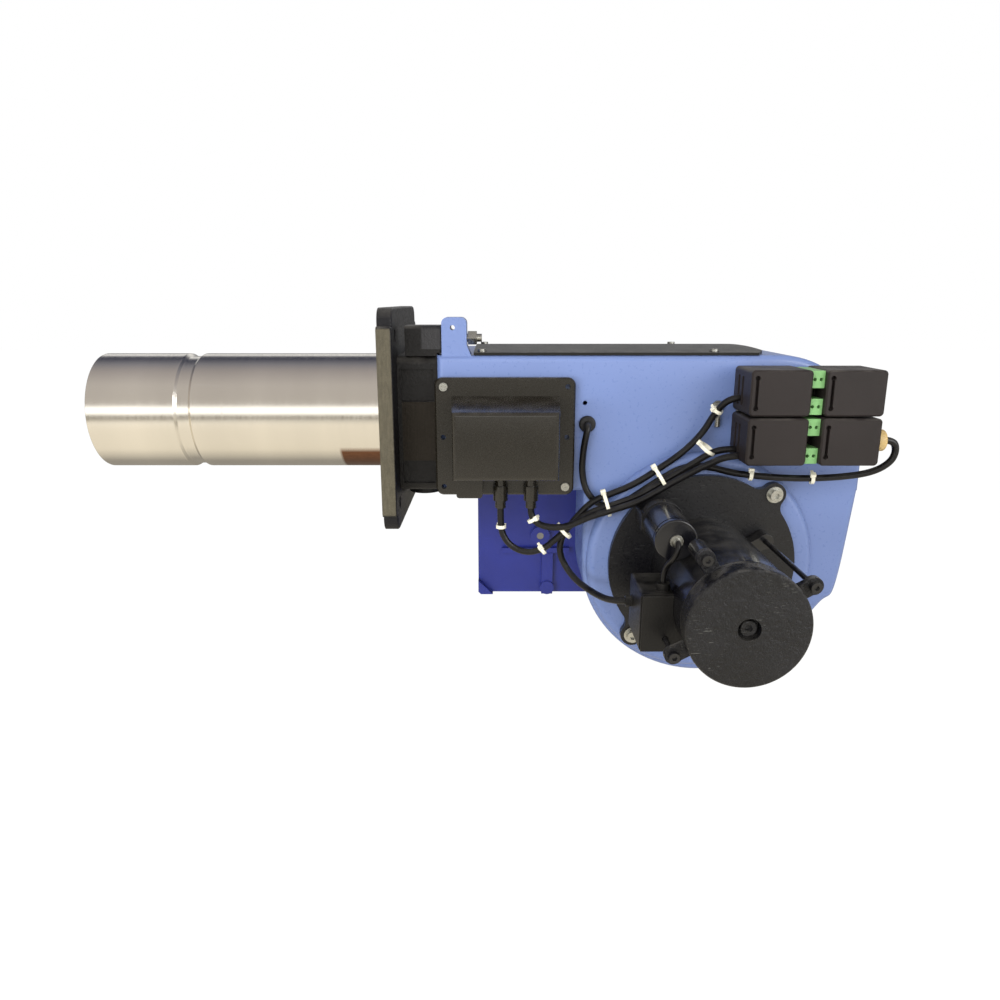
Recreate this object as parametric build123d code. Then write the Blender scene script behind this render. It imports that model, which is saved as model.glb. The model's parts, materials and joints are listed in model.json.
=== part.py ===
from build123d import *
import os
from math import cos, radians, sin, tan

# Forced-draught gas burner, in millimetres. The origin is the centre of the face of the
# mounting flange that bolts to the boiler, on the axis of the blast tube. The tube points
# to -X, the fan housing lies to +X, +Z is up and the motor side faces -Y.

# --- driving dimensions ------------------------------------------------------------
# blast tube and mounting flange
TUBE_R = 62.5
TUBE_WALL = 1.5
TUBE_REACH = 315.0
WAIST_X = -214.0
WAIST_WIDTH = 18.0
WAIST_DEPTH = 3.0
FLANGE_SIDE = 225.0
FLANGE_THICK = 15.0
FLANGE_STEP_DEPTH = 8.5
FLANGE_STEP_HALF = 95.0
FLANGE_CORNER_R = 14.0
FLANGE_BOLT_PITCH = 170.0
FLANGE_BOLT_R = 6.5

# neck casting between the flange and the fan housing
NECK_END = 56.0
NECK_HALF_Y = 80.0
NECK_TOP = 65.0
NECK_BOTTOM = -75.0
NECK_WALL = 9.0
NECK_WEB = 4.0
NECK_INNER_Y = 64.0
PAD_RISE = 3.0
PAD_Z = (-42.0, 19.0)
RIB_Z = (52.0, 57.0)
LUG_X = (24.0, 60.0)
LUG_Y = (-80.0, -44.0)
LUG_TOP = 95.0
LUG_WALL = 3.0
GAS_BORE_R = 14.0
GAS_BOSS_R = 21.0
GAS_PASSAGE_R = 12.0
GAS_X = 36.0
GAS_BOSS_DROP = 12.0
GAS_BOLT_PITCH = 60.0
GAS_BOLT_R = 3.4
NECK_SCREW_POINTS = [(y, z) for y in (-70.0, 70.0) for z in (-60.0, 52.0)]

# mixing head, which slides along the tube
HEAD_TRAVEL = 20.0
SLIDE_GAP = 0.1
PIPE_R = 21.0
PIPE_WALL = 2.0
PIPE_X = (-240.0, 96.0)
SLEEVE_X = (24.0, 80.0)
SLEEVE_R = 28.0
GROOVE_R = 24.5
NOZZLE_LENGTH = 22.0
DIFFUSER_R = 50.0
DIFFUSER_THICK = 2.0
DIFFUSER_SLOTS = 12
ELECTRODE_R = 2.2
CERAMIC_R = 5.0
ELECTRODE_AT = 36.0
ELECTRODE_BACK = -120.0
CLAMP_X = (-196.0, -186.0)
ARM_THICK = 6.0
ARM_Y = (-62.0, -48.0)
ARM_X = 29.0
ARM_RING_X = (86.0, 92.0)
ARM_STRIP_Z = (44.0, 49.0)
ROD_R = 4.0
ROD_Y = -70.0
ROD_Z = 82.6
ROD_END = 101.0
NUT_X = (87.0, 96.0)
NUT_R = 7.6

# fan housing: duct and scroll
WALL = 5.0
NEAR_Y = -85.0
FAR_Y = 82.0
DUCT_TOP = 66.0
DUCT_BOTTOM = -74.0
DUCT_CORNER_X = 400.0
SCROLL_RIGHT = 494.0
SCROLL_BACK_Y = -5.0
HOUSING_EDGE_R = 7.0
FAN_X = 330.0
FAN_Z = -150.0
SCROLL_R = 123.0
SCROLL_GROWTH = 5.0
SCROLL_POWER = 2.32
TONGUE_X = 268.0
RAISED_R = 119.0
RAISED_Y = -95.0
RAISED_EDGE_R = 9.0
MOTOR_HOLE_R = 92.0
OPENING_X = (105.0, 375.0)
OPENING_HALF_Y = 60.0
THROAT_HALF_Y = 65.0
TAB_X = (61.0, 86.0)
TAB_Y = (-82.0, -58.0)
TAB_TOP = 103.0
SIGHT_HOLE = (205.6, 18.6, 2.3)
COVER_X = (93.0, 389.0)
COVER_Y = (-82.0, 78.0)
COVER_THICK = 2.6
COVER_CROWN = 2.4

# air intake box under the duct, with the damper
BOX_X = (94.0, 410.0)
BOX_BOTTOM = -216.0
BOX_WALL = 3.0
BOX_CHAMFER = 3.0
BOX_CORNER = 17.0
BOX_RIB_X = (168.0, 181.0)
BOX_LEDGE_Z = (-166.0, -160.0)
MOUTH_Y = (4.0, 74.0)
MOUTH_Z = (-200.0, -90.0)
EYE_R = 55.0
EYE_SEAT_R = 60.0
FLAP_X = 166.0
FLAP_THICK = 3.0
FLAP_GAP = 1.2
SPINDLE_R = 4.0
SERVO = (60.0, 48.0, 74.0)
SERVO_Y = (FAR_Y + 16, FAR_Y + 16 + SERVO[1])
COUPLING_Y = (FAR_Y + 2, FAR_Y + 12)
SWITCH_AT = (216.0, -20.0)
SWITCH_END = FAR_Y + 40.0

# fan wheel
WHEEL_R = 80.0
WHEEL_Y = (-88.0, -17.0)
BLADE_ROOT_R = 66.0
BLADE_THICK = 1.2
BLADES = 36
HUB_R = 17.0
SHAFT_R = 7.5

# motor
PLATE_R = 97.0
PLATE_THICK = 8.0
LOBE_R = 12.0
LOBE_AT = 104.0
LOBE_ANGLE = 48.0
SHELL_R = 53.0
SHELL_WALL = 3.0
SHELL_Y = (-240.0, -121.0)
SHIELD_THICK = 7.0
EAR_AT = 67.0
EAR_R = 8.0
LONG_EARS = (29.0, 209.0)
SHORT_EARS = (122.0,)
EAR_BOSS = 26.0
TIE_R = 2.5
CAP_R = 54.3
CAP_END = -265.0
CAP_RECESS_R = 10.0
STATOR_Y = (-208.0, -150.0)
STATOR_BORE_R = 31.0
ROTOR_GAP = 0.5
BEARING_R = 17.5
BEARING_WIDTH = 11.0
BEARING_SPLIT_R = 12.0
RUN_GAP = 0.3
SHAFT_GAP = 0.08

# run capacitor and terminal box on the motor
CAPACITOR_R = 19.5
CAPACITOR_GAP = 5.11
CAPACITOR_ANGLE = 131.08
CAPACITOR_Y = (-200.0, -124.0)
TERMINAL_X = (248.0, 292.0)
TERMINAL_Y = (-208.0, -150.0)
TERMINAL_Z = (-196.0, -140.0)

# ignition transformer
TRANSFORMER_X = (54.0, 195.0)
TRANSFORMER_Z = (-75.0, 45.0)
TRANSFORMER_BASE = 10.0
TRANSFORMER_FRONT = -145.0
COIL_X = (74.0, 176.0)
COIL_Z = (-49.0, 16.5)
SPOUTS_X = (120.0, 151.0)
SPOUT_R = 5.5
SPOUT_Y = -104.0
SPOUT_END = -86.0
TRANSFORMER_SCREWS = [
    (TRANSFORMER_X[0] + 9, TRANSFORMER_Z[1] - 9),
    (TRANSFORMER_X[1] - 9, TRANSFORMER_Z[0] + 9),
]

# plug connectors at the right of the duct
PLUG_FRONT = -150.0
PLUG_BACK = -97.0
PLUG_COLUMNS = ((352.0, 409.0), (422.0, 478.0))
PLUG_ROWS = ((14.0, 57.0), (-33.0, 12.0))
INSERT_WIDTH = 12.6
BRACKET_SCREWS = [(415.5, 52.0), (415.5, -20.0)]

# fasteners and leads
SCREW_HEAD_R = 4.2
SCREW_HEAD = 3.5
SCREW_R = 2.0
BOLT_HEAD_R = 6.0
BOLT_HEAD = 6.0
BOLT_R = 4.0
WASHER_R = 8.5
WASHER = 1.4
LEAD_R = 3.4
LUG_SHEET = 1.5
GROMMET = (208.3, -2.8, 8.5)
EARTH = (340.0, 15.0)

TURNED = {"X": Rot(0, 90, 0), "Y": Rot(-90, 0, 0), "Z": Rot(0, 0, 0)}


# --- helpers -----------------------------------------------------------------------
def block(x, y, z):
    """Box between two limits along each axis."""
    size = [limits[1] - limits[0] for limits in (x, y, z)]
    middle = [(limits[0] + limits[1]) / 2 for limits in (x, y, z)]
    return Pos(*middle) * Box(*size)


def placed(axis, along, across):
    """Point at a distance along one axis and at the other two coordinates."""
    spots = {
        "X": (along, across[0], across[1]),
        "Y": (across[0], along, across[1]),
        "Z": (across[0], across[1], along),
    }
    return Pos(*spots[axis])


def rod(axis, radius, ends, across):
    """Cylinder along X, Y or Z between two ends, at the other two coordinates."""
    middle = (ends[0] + ends[1]) / 2
    length = abs(ends[1] - ends[0])
    return placed(axis, middle, across) * TURNED[axis] * Cylinder(radius, length)


def ring(axis, outer, inner, ends, across):
    """Hollow cylinder along X, Y or Z."""
    return rod(axis, outer, ends, across) - rod(axis, inner, ends, across)


def prism(axis, outline, ends):
    """Outline drawn across an axis, extruded between two limits along it."""
    low, high = min(ends), max(ends)
    if axis == "Y":
        return extrude(Plane.XZ.offset(-high) * outline, amount=high - low)
    plane = Plane.YZ if axis == "X" else Plane.XY
    return extrude(plane.offset(low) * outline, amount=high - low)


def polygon(*points):
    """Closed face with straight sides."""
    return make_face(Polyline(*points, close=True))


def polar(radius, angle, centre=(FAN_X, FAN_Z)):
    """Point at a radius and an angle in degrees from a centre."""
    return (
        centre[0] + radius * cos(radians(angle)),
        centre[1] + radius * sin(radians(angle)),
    )


def edge_loop(shape, axis, position, tolerance=0.01):
    """Edges of a shape that lie at one position along an axis."""
    return shape.edges().filter_by_position(axis, position - tolerance, position + tolerance)


def screws(axis, out, seat, points, head, radius, depth):
    """Socket screws: heads on a seat, shanks behind it; head is (radius, height)."""
    solids = []
    for point in points:
        top = seat + out * head[1]
        body = rod(axis, head[0], (seat, top), point)
        socket = placed(axis, top - out * head[1] / 4, point) * TURNED[axis]
        hexagon = RegularPolygon(head[0] * 0.5, 6)
        body -= socket * extrude(hexagon, amount=head[1] / 4, both=True)
        body += rod(axis, radius, (seat, seat - out * depth), point)
        solids.append(body)
    return Compound(children=solids)


def shanks(axis, seat, out, points, radius, depth):
    """Cylinders that cut the holes for a set of screws."""
    return [rod(axis, radius, (seat, seat - out * depth), point) for point in points]


def washers(axis, out, seat, points, radius, hole, thick):
    """Flat washers on a seat."""
    solids = [ring(axis, radius, hole, (seat, seat + out * thick), p) for p in points]
    return Compound(children=solids)


def save(name, shape):
    """Write one sub-part."""
    export_step(shape, f"parts/{name}.step")


# --- blast tube and flange -----------------------------------------------------------
def blast_tube():
    """Spun stainless tube with a rolled waist and a rolled-in lip at the open end."""
    inner = TUBE_R - TUBE_WALL
    low, high = WAIST_X - WAIST_WIDTH / 2, WAIST_X + WAIST_WIDTH / 2
    outer_line = [
        (FLANGE_THICK, TUBE_R),
        (high, TUBE_R),
        (high - WAIST_DEPTH, TUBE_R - WAIST_DEPTH),
        (low + WAIST_DEPTH, TUBE_R - WAIST_DEPTH),
        (low, TUBE_R),
        (-TUBE_REACH, TUBE_R),
    ]
    inner_line = [
        (-TUBE_REACH, inner),
        (low - TUBE_WALL / 2, inner),
        (low + WAIST_DEPTH - TUBE_WALL / 2, inner - WAIST_DEPTH),
        (high - WAIST_DEPTH + TUBE_WALL / 2, inner - WAIST_DEPTH),
        (high + TUBE_WALL / 2, inner),
        (FLANGE_THICK, inner),
    ]
    section = make_face(Polyline(*outer_line, *inner_line, close=True))
    return revolve(Plane.XZ * section, Axis.X)


def corner_points(pitch):
    """Four corners of a square pattern across the X axis."""
    half = pitch / 2
    return [(y, z) for y in (-half, half) for z in (-half, half)]


def mounting_flange():
    """Cast plate with stepped corners, clamped on the tube."""
    half = FLANGE_SIDE / 2
    tall = RectangleRounded(FLANGE_SIDE - 2 * FLANGE_STEP_DEPTH, FLANGE_SIDE, FLANGE_CORNER_R)
    wide = RectangleRounded(FLANGE_SIDE, 2 * FLANGE_STEP_HALF, FLANGE_STEP_DEPTH / 2)
    plate = prism("X", tall + wide, (0, FLANGE_THICK))
    plate = chamfer(edge_loop(plate, Axis.X, FLANGE_THICK), FLANGE_THICK / 10)
    plate -= rod("X", TUBE_R, (-1, FLANGE_THICK + 1), (0, 0))
    for point in corner_points(FLANGE_BOLT_PITCH):
        plate -= rod("X", FLANGE_BOLT_R, (-1, FLANGE_THICK + 1), point)
    return plate


# --- neck casting and gas manifold -----------------------------------------------------
def gas_bolt_points():
    """Two threaded holes beside the gas inlet."""
    return [(GAS_X, y) for y in (-GAS_BOLT_PITCH / 2, GAS_BOLT_PITCH / 2)]


def arm_slot():
    """Slot in the roof of the neck that the adjusting arm travels in."""
    room = 1.5
    x = (ARM_X - room, NECK_END)
    y = (ARM_Y[0] - room, ARM_Y[1] + room)
    return block(x, y, (NECK_TOP - NECK_WALL - 9, NECK_TOP + 1))


def neck_casting():
    """Box casting with a machined near pad, ledges, a hollow top lug and a gas boss."""
    outline = RectangleRounded(2 * NECK_HALF_Y, NECK_TOP - NECK_BOTTOM, 12)
    middle = (NECK_TOP + NECK_BOTTOM) / 2
    body = prism("X", Pos(0, middle) * outline, (FLANGE_THICK, NECK_END))
    # ledges and the machined pad stand proud of the recessed near and far walls
    web_x = (FLANGE_THICK + NECK_WEB, NECK_END - NECK_WEB)
    for side in (-1, 1):
        face = sorted((side * NECK_HALF_Y, side * (NECK_HALF_Y - PAD_RISE)))
        body -= block(web_x, face, (PAD_Z[1], RIB_Z[0]))
        body -= block(web_x, face, (NECK_BOTTOM + NECK_WALL, PAD_Z[0]))
    cavity = RectangleRounded(2 * NECK_INNER_Y, NECK_TOP - NECK_BOTTOM - 2 * NECK_WALL, 8)
    body -= prism("X", Pos(0, middle) * cavity, (FLANGE_THICK + NECK_WEB, NECK_END + 1))
    body -= rod("X", TUBE_R - TUBE_WALL, (0, NECK_END), (0, 0))
    # top lug, hollow for the arm
    lug = block(LUG_X, LUG_Y, (NECK_TOP, LUG_TOP))
    lug = fillet(lug.edges().filter_by(Axis.X).sort_by(Axis.Z)[-2:], 5)
    lug -= block((LUG_X[0], NECK_END), LUG_Y, (NECK_TOP - 1, NECK_TOP))
    lug -= block((NECK_END, LUG_X[1]), LUG_Y, (NECK_TOP, DUCT_TOP + 2))
    inside_x = (LUG_X[0] + LUG_WALL, LUG_X[1] - LUG_WALL)
    inside_y = (LUG_Y[0] + LUG_WALL, LUG_Y[1] - LUG_WALL)
    lug -= block(inside_x, inside_y, (NECK_TOP - 1, LUG_TOP - LUG_WALL))
    body = body + lug - arm_slot()
    body -= rod("X", ROD_R + SHAFT_GAP, (NECK_END - 2, LUG_X[1] + 1), (ROD_Y, ROD_Z))
    # gas inlet boss under the neck
    boss_z = (NECK_BOTTOM - GAS_BOSS_DROP, NECK_BOTTOM + 2)
    pad = Pos(GAS_X, 0) * SlotOverall(GAS_BOLT_PITCH + 20, 2 * GAS_BOSS_R * 0.85, rotation=90)
    body += prism("Z", pad, boss_z) & block((FLANGE_THICK, NECK_END), (-90, 90), boss_z)
    body -= rod("Z", GAS_BORE_R, (boss_z[0] - 1, NECK_BOTTOM + NECK_WALL + 1), (GAS_X, 0))
    for point in gas_bolt_points():
        body -= rod("Z", GAS_BOLT_R, (boss_z[0] - 1, NECK_BOTTOM + NECK_WALL + 1), point)
    for hole in shanks("X", NECK_END, 1, NECK_SCREW_POINTS, BOLT_R, 26):
        body -= hole
    return body


def gas_manifold():
    """Sleeve around the gas pipe on a hollow pillar above the gas inlet."""
    sleeve = rod("X", SLEEVE_R, SLEEVE_X, (0, 0))
    pillar = rod("Z", GAS_PASSAGE_R + 5, (NECK_BOTTOM + NECK_WALL, 0), (GAS_X, 0))
    body = sleeve + pillar
    body -= rod("Z", GAS_PASSAGE_R, (NECK_BOTTOM, 0), (GAS_X, 0))
    body -= rod("X", PIPE_R + SLIDE_GAP, (0, 120), (0, 0))
    groove = (SLEEVE_X[0] + 5, SLEEVE_X[1] - 5)
    body -= rod("X", GROOVE_R, groove, (0, 0))
    return body


# --- mixing head -------------------------------------------------------------------
def gas_pipe():
    """Pipe with gas slots under the sleeve and a closed tail."""
    pipe = ring("X", PIPE_R, PIPE_R - PIPE_WALL, PIPE_X, (0, 0))
    pipe += rod("X", PIPE_R, (PIPE_X[1] - 3, PIPE_X[1]), (0, 0))
    slot_x = (SLEEVE_X[0] + 7, SLEEVE_X[0] + 27)
    for angle in (0, 45, 90, 135):
        slot = block(slot_x, (-4, 4), (-PIPE_R - 1, PIPE_R + 1))
        pipe -= Rot(angle, 0, 0) * slot
    return pipe


def gas_nozzle():
    """Turned nozzle with a ring of radial and face jets."""
    start = PIPE_X[0]
    tip = start - NOZZLE_LENGTH
    body = ring("X", PIPE_R, PIPE_R - PIPE_WALL - 2, (tip, start), (0, 0))
    body += rod("X", PIPE_R, (tip - 3, tip), (0, 0))
    for index in range(8):
        jet = placed("X", tip - 1.5, (PIPE_R * 0.62, 0)) * TURNED["X"] * Cylinder(2, 6)
        body -= Rot(index * 45, 0, 0) * jet
    for angle in (0, 60, 120):
        body -= Rot(angle, 0, 0) * rod("Z", 2.2, (-PIPE_R - 1, PIPE_R + 1), (tip + 14, 0))
    return body


def diffuser_disc():
    """Pressed disc with twisted-looking slots and a turned rim, behind the nozzle."""
    x = PIPE_X[0]
    disc = ring("X", DIFFUSER_R, PIPE_R, (x, x + DIFFUSER_THICK), (0, 0))
    rim = ring("X", DIFFUSER_R, DIFFUSER_R - DIFFUSER_THICK, (x, x + 14), (0, 0))
    disc += rim
    length = DIFFUSER_R - PIPE_R - 14
    reach = (DIFFUSER_R + PIPE_R) / 2
    for index in range(DIFFUSER_SLOTS):
        slot = Pos(x, reach, 0) * Rot(22, 0, 0) * Box(4 * DIFFUSER_THICK, length, 3.6)
        disc -= Rot(index * 360 / DIFFUSER_SLOTS + 15, 0, 0) * slot
    for angle in (60, 120, 240):
        disc -= rod("X", CERAMIC_R, (x - 1, x + 20), polar(ELECTRODE_AT, angle, (0, 0)))
    return disc


def electrode(angle, tip_angle):
    """Ceramic rod with a bent wire tip in front of the disc."""
    centre = polar(ELECTRODE_AT, angle, (0, 0))
    front = PIPE_X[0] - 12
    body = rod("X", CERAMIC_R, (front, ELECTRODE_BACK), centre)
    body += rod("X", ELECTRODE_R, (ELECTRODE_BACK - 1, ELECTRODE_BACK + 14), centre)
    bend = front - 12
    body += rod("X", ELECTRODE_R * 0.6, (bend, front + 1), centre)
    run = Pos(bend, *centre) * Rot(tip_angle, 0, 0)
    reach = 9
    body += run * Pos(0, 0, reach / 2) * Cylinder(ELECTRODE_R * 0.6, reach)
    return body


def electrode_clamp():
    """Strap that carries the electrodes on the gas pipe."""
    outer = ELECTRODE_AT + CERAMIC_R + 3
    strap = ring("X", outer, PIPE_R, CLAMP_X, (0, 0))
    for angle in (180, 0):
        strap -= block((CLAMP_X[0] - 1, CLAMP_X[1] + 1), (-outer - 1, -ELECTRODE_AT), (-60, 60))
    for angle in (60, 120, 240):
        strap -= rod("X", CERAMIC_R, (CLAMP_X[0] - 1, CLAMP_X[1] + 1), polar(ELECTRODE_AT, angle, (0, 0)))
    windows = ring("X", outer - 10, PIPE_R + 5, (CLAMP_X[0] - 1, CLAMP_X[1] + 1), (0, 0))
    keep = block((CLAMP_X[0] - 2, CLAMP_X[1] + 2), (-60, 60), (-15, 15))
    return strap - (windows & keep)


def adjusting_arm():
    """Ring on the tail of the pipe, a strip over the sleeve and an upright in the lug."""
    ring_r = PIPE_R + 6
    arm = rod("X", ring_r, ARM_RING_X, (0, 0))
    web = polygon((-10, 20), (ARM_Y[0], ARM_STRIP_Z[0]), (ARM_Y[0], ARM_STRIP_Z[1]),
                  (ARM_Y[1], ARM_STRIP_Z[1]), (ring_r * 0.7, 10), (-ring_r * 0.7, 0))
    arm += prism("X", web, ARM_RING_X)
    arm -= rod("X", PIPE_R, (ARM_RING_X[0] - 1, ARM_RING_X[1] + 1), (0, 0))
    arm += block((ARM_X, ARM_RING_X[1]), ARM_Y, ARM_STRIP_Z)
    upright_x = (ARM_X, ARM_X + ARM_THICK)
    arm += block(upright_x, ARM_Y, (ARM_STRIP_Z[0], ROD_Z))
    head_y = (ROD_Y - 1.2 * ROD_R, ARM_Y[1])
    arm += block(upright_x, head_y, (NECK_TOP + 2, ROD_Z + 1.2 * ROD_R))
    return arm


def adjusting_rod():
    """Threaded rod from the arm through the lug and the tab."""
    return rod("X", ROD_R, (ARM_X + ARM_THICK, ROD_END), (ROD_Y, ROD_Z))


def adjusting_nut():
    """Hexagon nut on the rod, outside the tab."""
    nut = prism("X", Pos(ROD_Y, ROD_Z) * RegularPolygon(NUT_R, 6), NUT_X)
    return nut - rod("X", ROD_R, (NUT_X[0] - 1, NUT_X[1] + 1), (ROD_Y, ROD_Z))


# --- fan housing ---------------------------------------------------------------------
def scroll_radius(angle):
    """Radius of the scroll, which starts at the left and grows anticlockwise."""
    return SCROLL_R + SCROLL_GROWTH * ((angle + 162) / 72) ** SCROLL_POWER


def duct_outline(inset):
    """Duct seen from the side, with its large corner above the fan outlet."""
    left, right = inset if inset else 0, SCROLL_RIGHT - inset
    top, bottom = DUCT_TOP - inset, DUCT_BOTTOM + inset
    start = (DUCT_CORNER_X, top)
    lower = (right, -47.0)
    lines = Polyline((right, bottom), (NECK_END + left, bottom), (NECK_END + left, top), start)
    corner = TangentArc(start, lower, tangent=(1, 0))
    return make_face(Curve() + [lines, corner, Line(lower, (right, bottom))])


def scroll_outline(inset):
    """Scroll seen from the side, closed by a straight top inside the duct."""
    angles = [-180 + step * (185 / 8) for step in range(9)]
    radii = [SCROLL_R if angle < -162 else scroll_radius(angle) for angle in angles]
    spiral = [polar(radius - inset, angle) for radius, angle in zip(radii, angles)]
    curve = Spline(*spiral, tangents=[(0, -1), (0.1, 1)])
    top = DUCT_BOTTOM + 12
    right = SCROLL_RIGHT - inset
    sides = Polyline(spiral[-1], (right, -67.0), (right, top), (spiral[0][0], top), spiral[0])
    return make_face(Curve() + [curve, sides])


def cover_screw_points():
    """Screws along the two long edges of the top cover."""
    left, right = COVER_X[0] + 8, COVER_X[1] - 52
    near, far = COVER_Y[0] + 12, COVER_Y[1] - 12
    return [(left, near), (right, near), (right - 15, far), (left, far)]


def neck_flange_holes():
    """Screw holes in the front wall of the housing."""
    return shanks("X", NECK_END + WALL, 1, NECK_SCREW_POINTS, BOLT_R, 31)


def motor_screw_points():
    """Screws in the lobes of the motor plate."""
    return [polar(LOBE_AT, LOBE_ANGLE), polar(LOBE_AT, LOBE_ANGLE + 180)]


def main_housing():
    """Cast duct and scroll in one piece, with its tab, raised pad and openings."""
    outer = prism("Y", duct_outline(0), (NEAR_Y, FAR_Y))
    outer += prism("Y", scroll_outline(0), (NEAR_Y, SCROLL_BACK_Y))
    outer = fillet(edge_loop(outer, Axis.Y, NEAR_Y), HOUSING_EDGE_R)
    raised = rod("Y", RAISED_R, (RAISED_Y, NEAR_Y + WALL), (FAN_X, FAN_Z))
    raised = fillet(edge_loop(raised, Axis.Y, RAISED_Y), RAISED_EDGE_R)
    body = outer + raised
    cavity = prism("Y", duct_outline(WALL), (NEAR_Y + WALL, FAR_Y - WALL))
    cavity += prism("Y", scroll_outline(WALL), (NEAR_Y + WALL, SCROLL_BACK_Y - WALL))
    tongue_x = (FAN_X - SCROLL_R, TONGUE_X)
    cavity -= block(tongue_x, (NEAR_Y, SCROLL_BACK_Y), (DUCT_BOTTOM, DUCT_BOTTOM + WALL))
    body -= cavity
    throat_y = (-THROAT_HALF_Y, THROAT_HALF_Y)
    body -= block((NECK_END - 1, NECK_END + WALL + 1), throat_y, (-60, 51))
    body -= block(OPENING_X, (-OPENING_HALF_Y, OPENING_HALF_Y), (DUCT_TOP - WALL - 1, DUCT_TOP + 1))
    body -= rod("Y", MOTOR_HOLE_R, (RAISED_Y - 1, NEAR_Y + WALL + 1), (FAN_X, FAN_Z))
    body -= rod("Y", EYE_SEAT_R, (SCROLL_BACK_Y - WALL - 1, SCROLL_BACK_Y + 1), (FAN_X, FAN_Z))
    body += adjuster_tab()
    near_wall = (NEAR_Y - 1, NEAR_Y + WALL + 1)
    body -= rod("Y", SIGHT_HOLE[2], near_wall, SIGHT_HOLE[:2])
    body -= rod("Y", GROMMET[2] - 2, near_wall, GROMMET[:2])
    for hole in neck_flange_holes():
        body -= hole
    for hole in shanks("Z", DUCT_TOP, 1, cover_screw_points(), SCREW_R, WALL):
        body -= hole
    for hole in shanks("Z", DUCT_BOTTOM, -1, intake_screw_points(), SCREW_R, WALL):
        body -= hole
    for hole in shanks("Y", NEAR_Y, -1, TRANSFORMER_SCREWS + BRACKET_SCREWS + [EARTH], SCREW_R, WALL):
        body -= hole
    for hole in shanks("Y", RAISED_Y, -1, motor_screw_points(), BOLT_R, 10):
        body -= hole
    return body


def adjuster_tab():
    """Upright tab that guides the adjusting rod."""
    tab = block(TAB_X, TAB_Y, (DUCT_TOP - WALL, TAB_TOP))
    tab = fillet(tab.edges().filter_by(Axis.Y).sort_by(Axis.Z)[-2:], 6)
    foot_x = (TAB_X[0], TAB_X[1] + 5)
    foot = polygon((foot_x[0], DUCT_TOP - 2), (foot_x[1], DUCT_TOP - 2),
                   (TAB_X[1], DUCT_TOP + 10), (TAB_X[0], DUCT_TOP + 10))
    tab += prism("Y", foot, TAB_Y)
    tab -= rod("X", ROD_R + SHAFT_GAP, (TAB_X[0] - 9, TAB_X[1] + 9), (ROD_Y, ROD_Z))
    return tab - rod("Y", 2.5, (TAB_Y[0] - 1, TAB_Y[1] + 1), (TAB_X[0] + 11, TAB_TOP - 10))


def top_cover():
    """Crowned sheet cover with two cut corners at the fan end."""
    low, high = COVER_Y
    edge = DUCT_TOP + COVER_THICK
    arc = ThreePointArc((low, edge), ((low + high) / 2, edge + COVER_CROWN), (high, edge))
    sides = Polyline((high, edge), (high, DUCT_TOP), (low, DUCT_TOP), (low, edge))
    slab = prism("X", make_face(Curve() + [arc, sides]), COVER_X)
    cut = 22.0
    right = COVER_X[1]
    for y, step in ((low, cut), (high, -cut)):
        corner = polygon((right - 10, y), (right + 1, y), (right + 1, y + step), (right, y + step))
        slab -= prism("Z", corner, (DUCT_TOP - 1, edge + 10))
    for hole in shanks("Z", edge + 9, 1, cover_screw_points(), SCREW_R, 19):
        slab -= hole
    for point in cover_screw_points():
        slab -= rod("Z", SCREW_HEAD_R + 1, (edge - 0.6, edge + 9), point)
    return slab


# --- intake box and damper ---------------------------------------------------------------
def intake_outline(inset):
    """Box seen from the side with a broken lower front corner."""
    left, right = BOX_X[0] + inset, BOX_X[1] - inset
    top, bottom = DUCT_BOTTOM - inset, BOX_BOTTOM + inset
    cut = BOX_CHAMFER - inset * 0.6
    return polygon((left, top), (right, top), (right, bottom), (left + cut, bottom), (left, bottom + cut))


def intake_screw_points():
    """Screws that hang the box under the duct."""
    left, right = BOX_X[0] + 12, BOX_X[1] - 12
    return [(x, y) for x in (left, right) for y in (SCROLL_BACK_Y + 9, FAR_Y - 8)]


def intake_box():
    """Cast box between the air mouth and the fan eye, with ribs and a spindle boss."""
    near, far = SCROLL_BACK_Y, FAR_Y
    body = prism("Y", intake_outline(0), (near, far))
    left = BOX_X[0]
    body += block(BOX_RIB_X, (near - 7, near), (BOX_BOTTOM, BOX_LEDGE_Z[0]))
    body += block((left + 28, BOX_RIB_X[1] + 19), (near - 6, near), BOX_LEDGE_Z)
    body += rod("Y", 8, (near - 9, near), (sum(BOX_RIB_X) / 2, BOX_BOTTOM + 8))
    corner = polygon((left + BOX_CHAMFER, BOX_BOTTOM), (left + BOX_CORNER, BOX_BOTTOM),
                     (left, BOX_BOTTOM + BOX_CORNER), (left, BOX_BOTTOM + BOX_CHAMFER))
    body += prism("Y", corner, (near - 9, near))
    body += rod("Y", 11, (near - 7, near), (FLAP_X, damper_z()))
    body -= prism("Y", intake_outline(BOX_WALL), (near + BOX_WALL, far - BOX_WALL))
    body -= block((BOX_X[0] - 1, BOX_X[0] + BOX_WALL + 1), MOUTH_Y, MOUTH_Z)
    for z in (-172.0, -118.0):
        body += block((BOX_X[0], BOX_X[0] + BOX_WALL), MOUTH_Y, (z - 1.5, z + 1.5))
    body -= rod("Y", EYE_SEAT_R, (near - 1, near + BOX_WALL + 1), (FAN_X, FAN_Z))
    body -= rod("Y", SPINDLE_R + SHAFT_GAP, (near - 8, far + 1), (FLAP_X, damper_z()))
    for hole in shanks("Z", DUCT_BOTTOM - BOX_WALL, -1, intake_screw_points(), SCREW_R, BOX_WALL):
        body -= hole
    return body


def damper_z():
    """Height of the damper spindle, half way up the inside of the box."""
    return (DUCT_BOTTOM + BOX_BOTTOM) / 2


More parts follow.
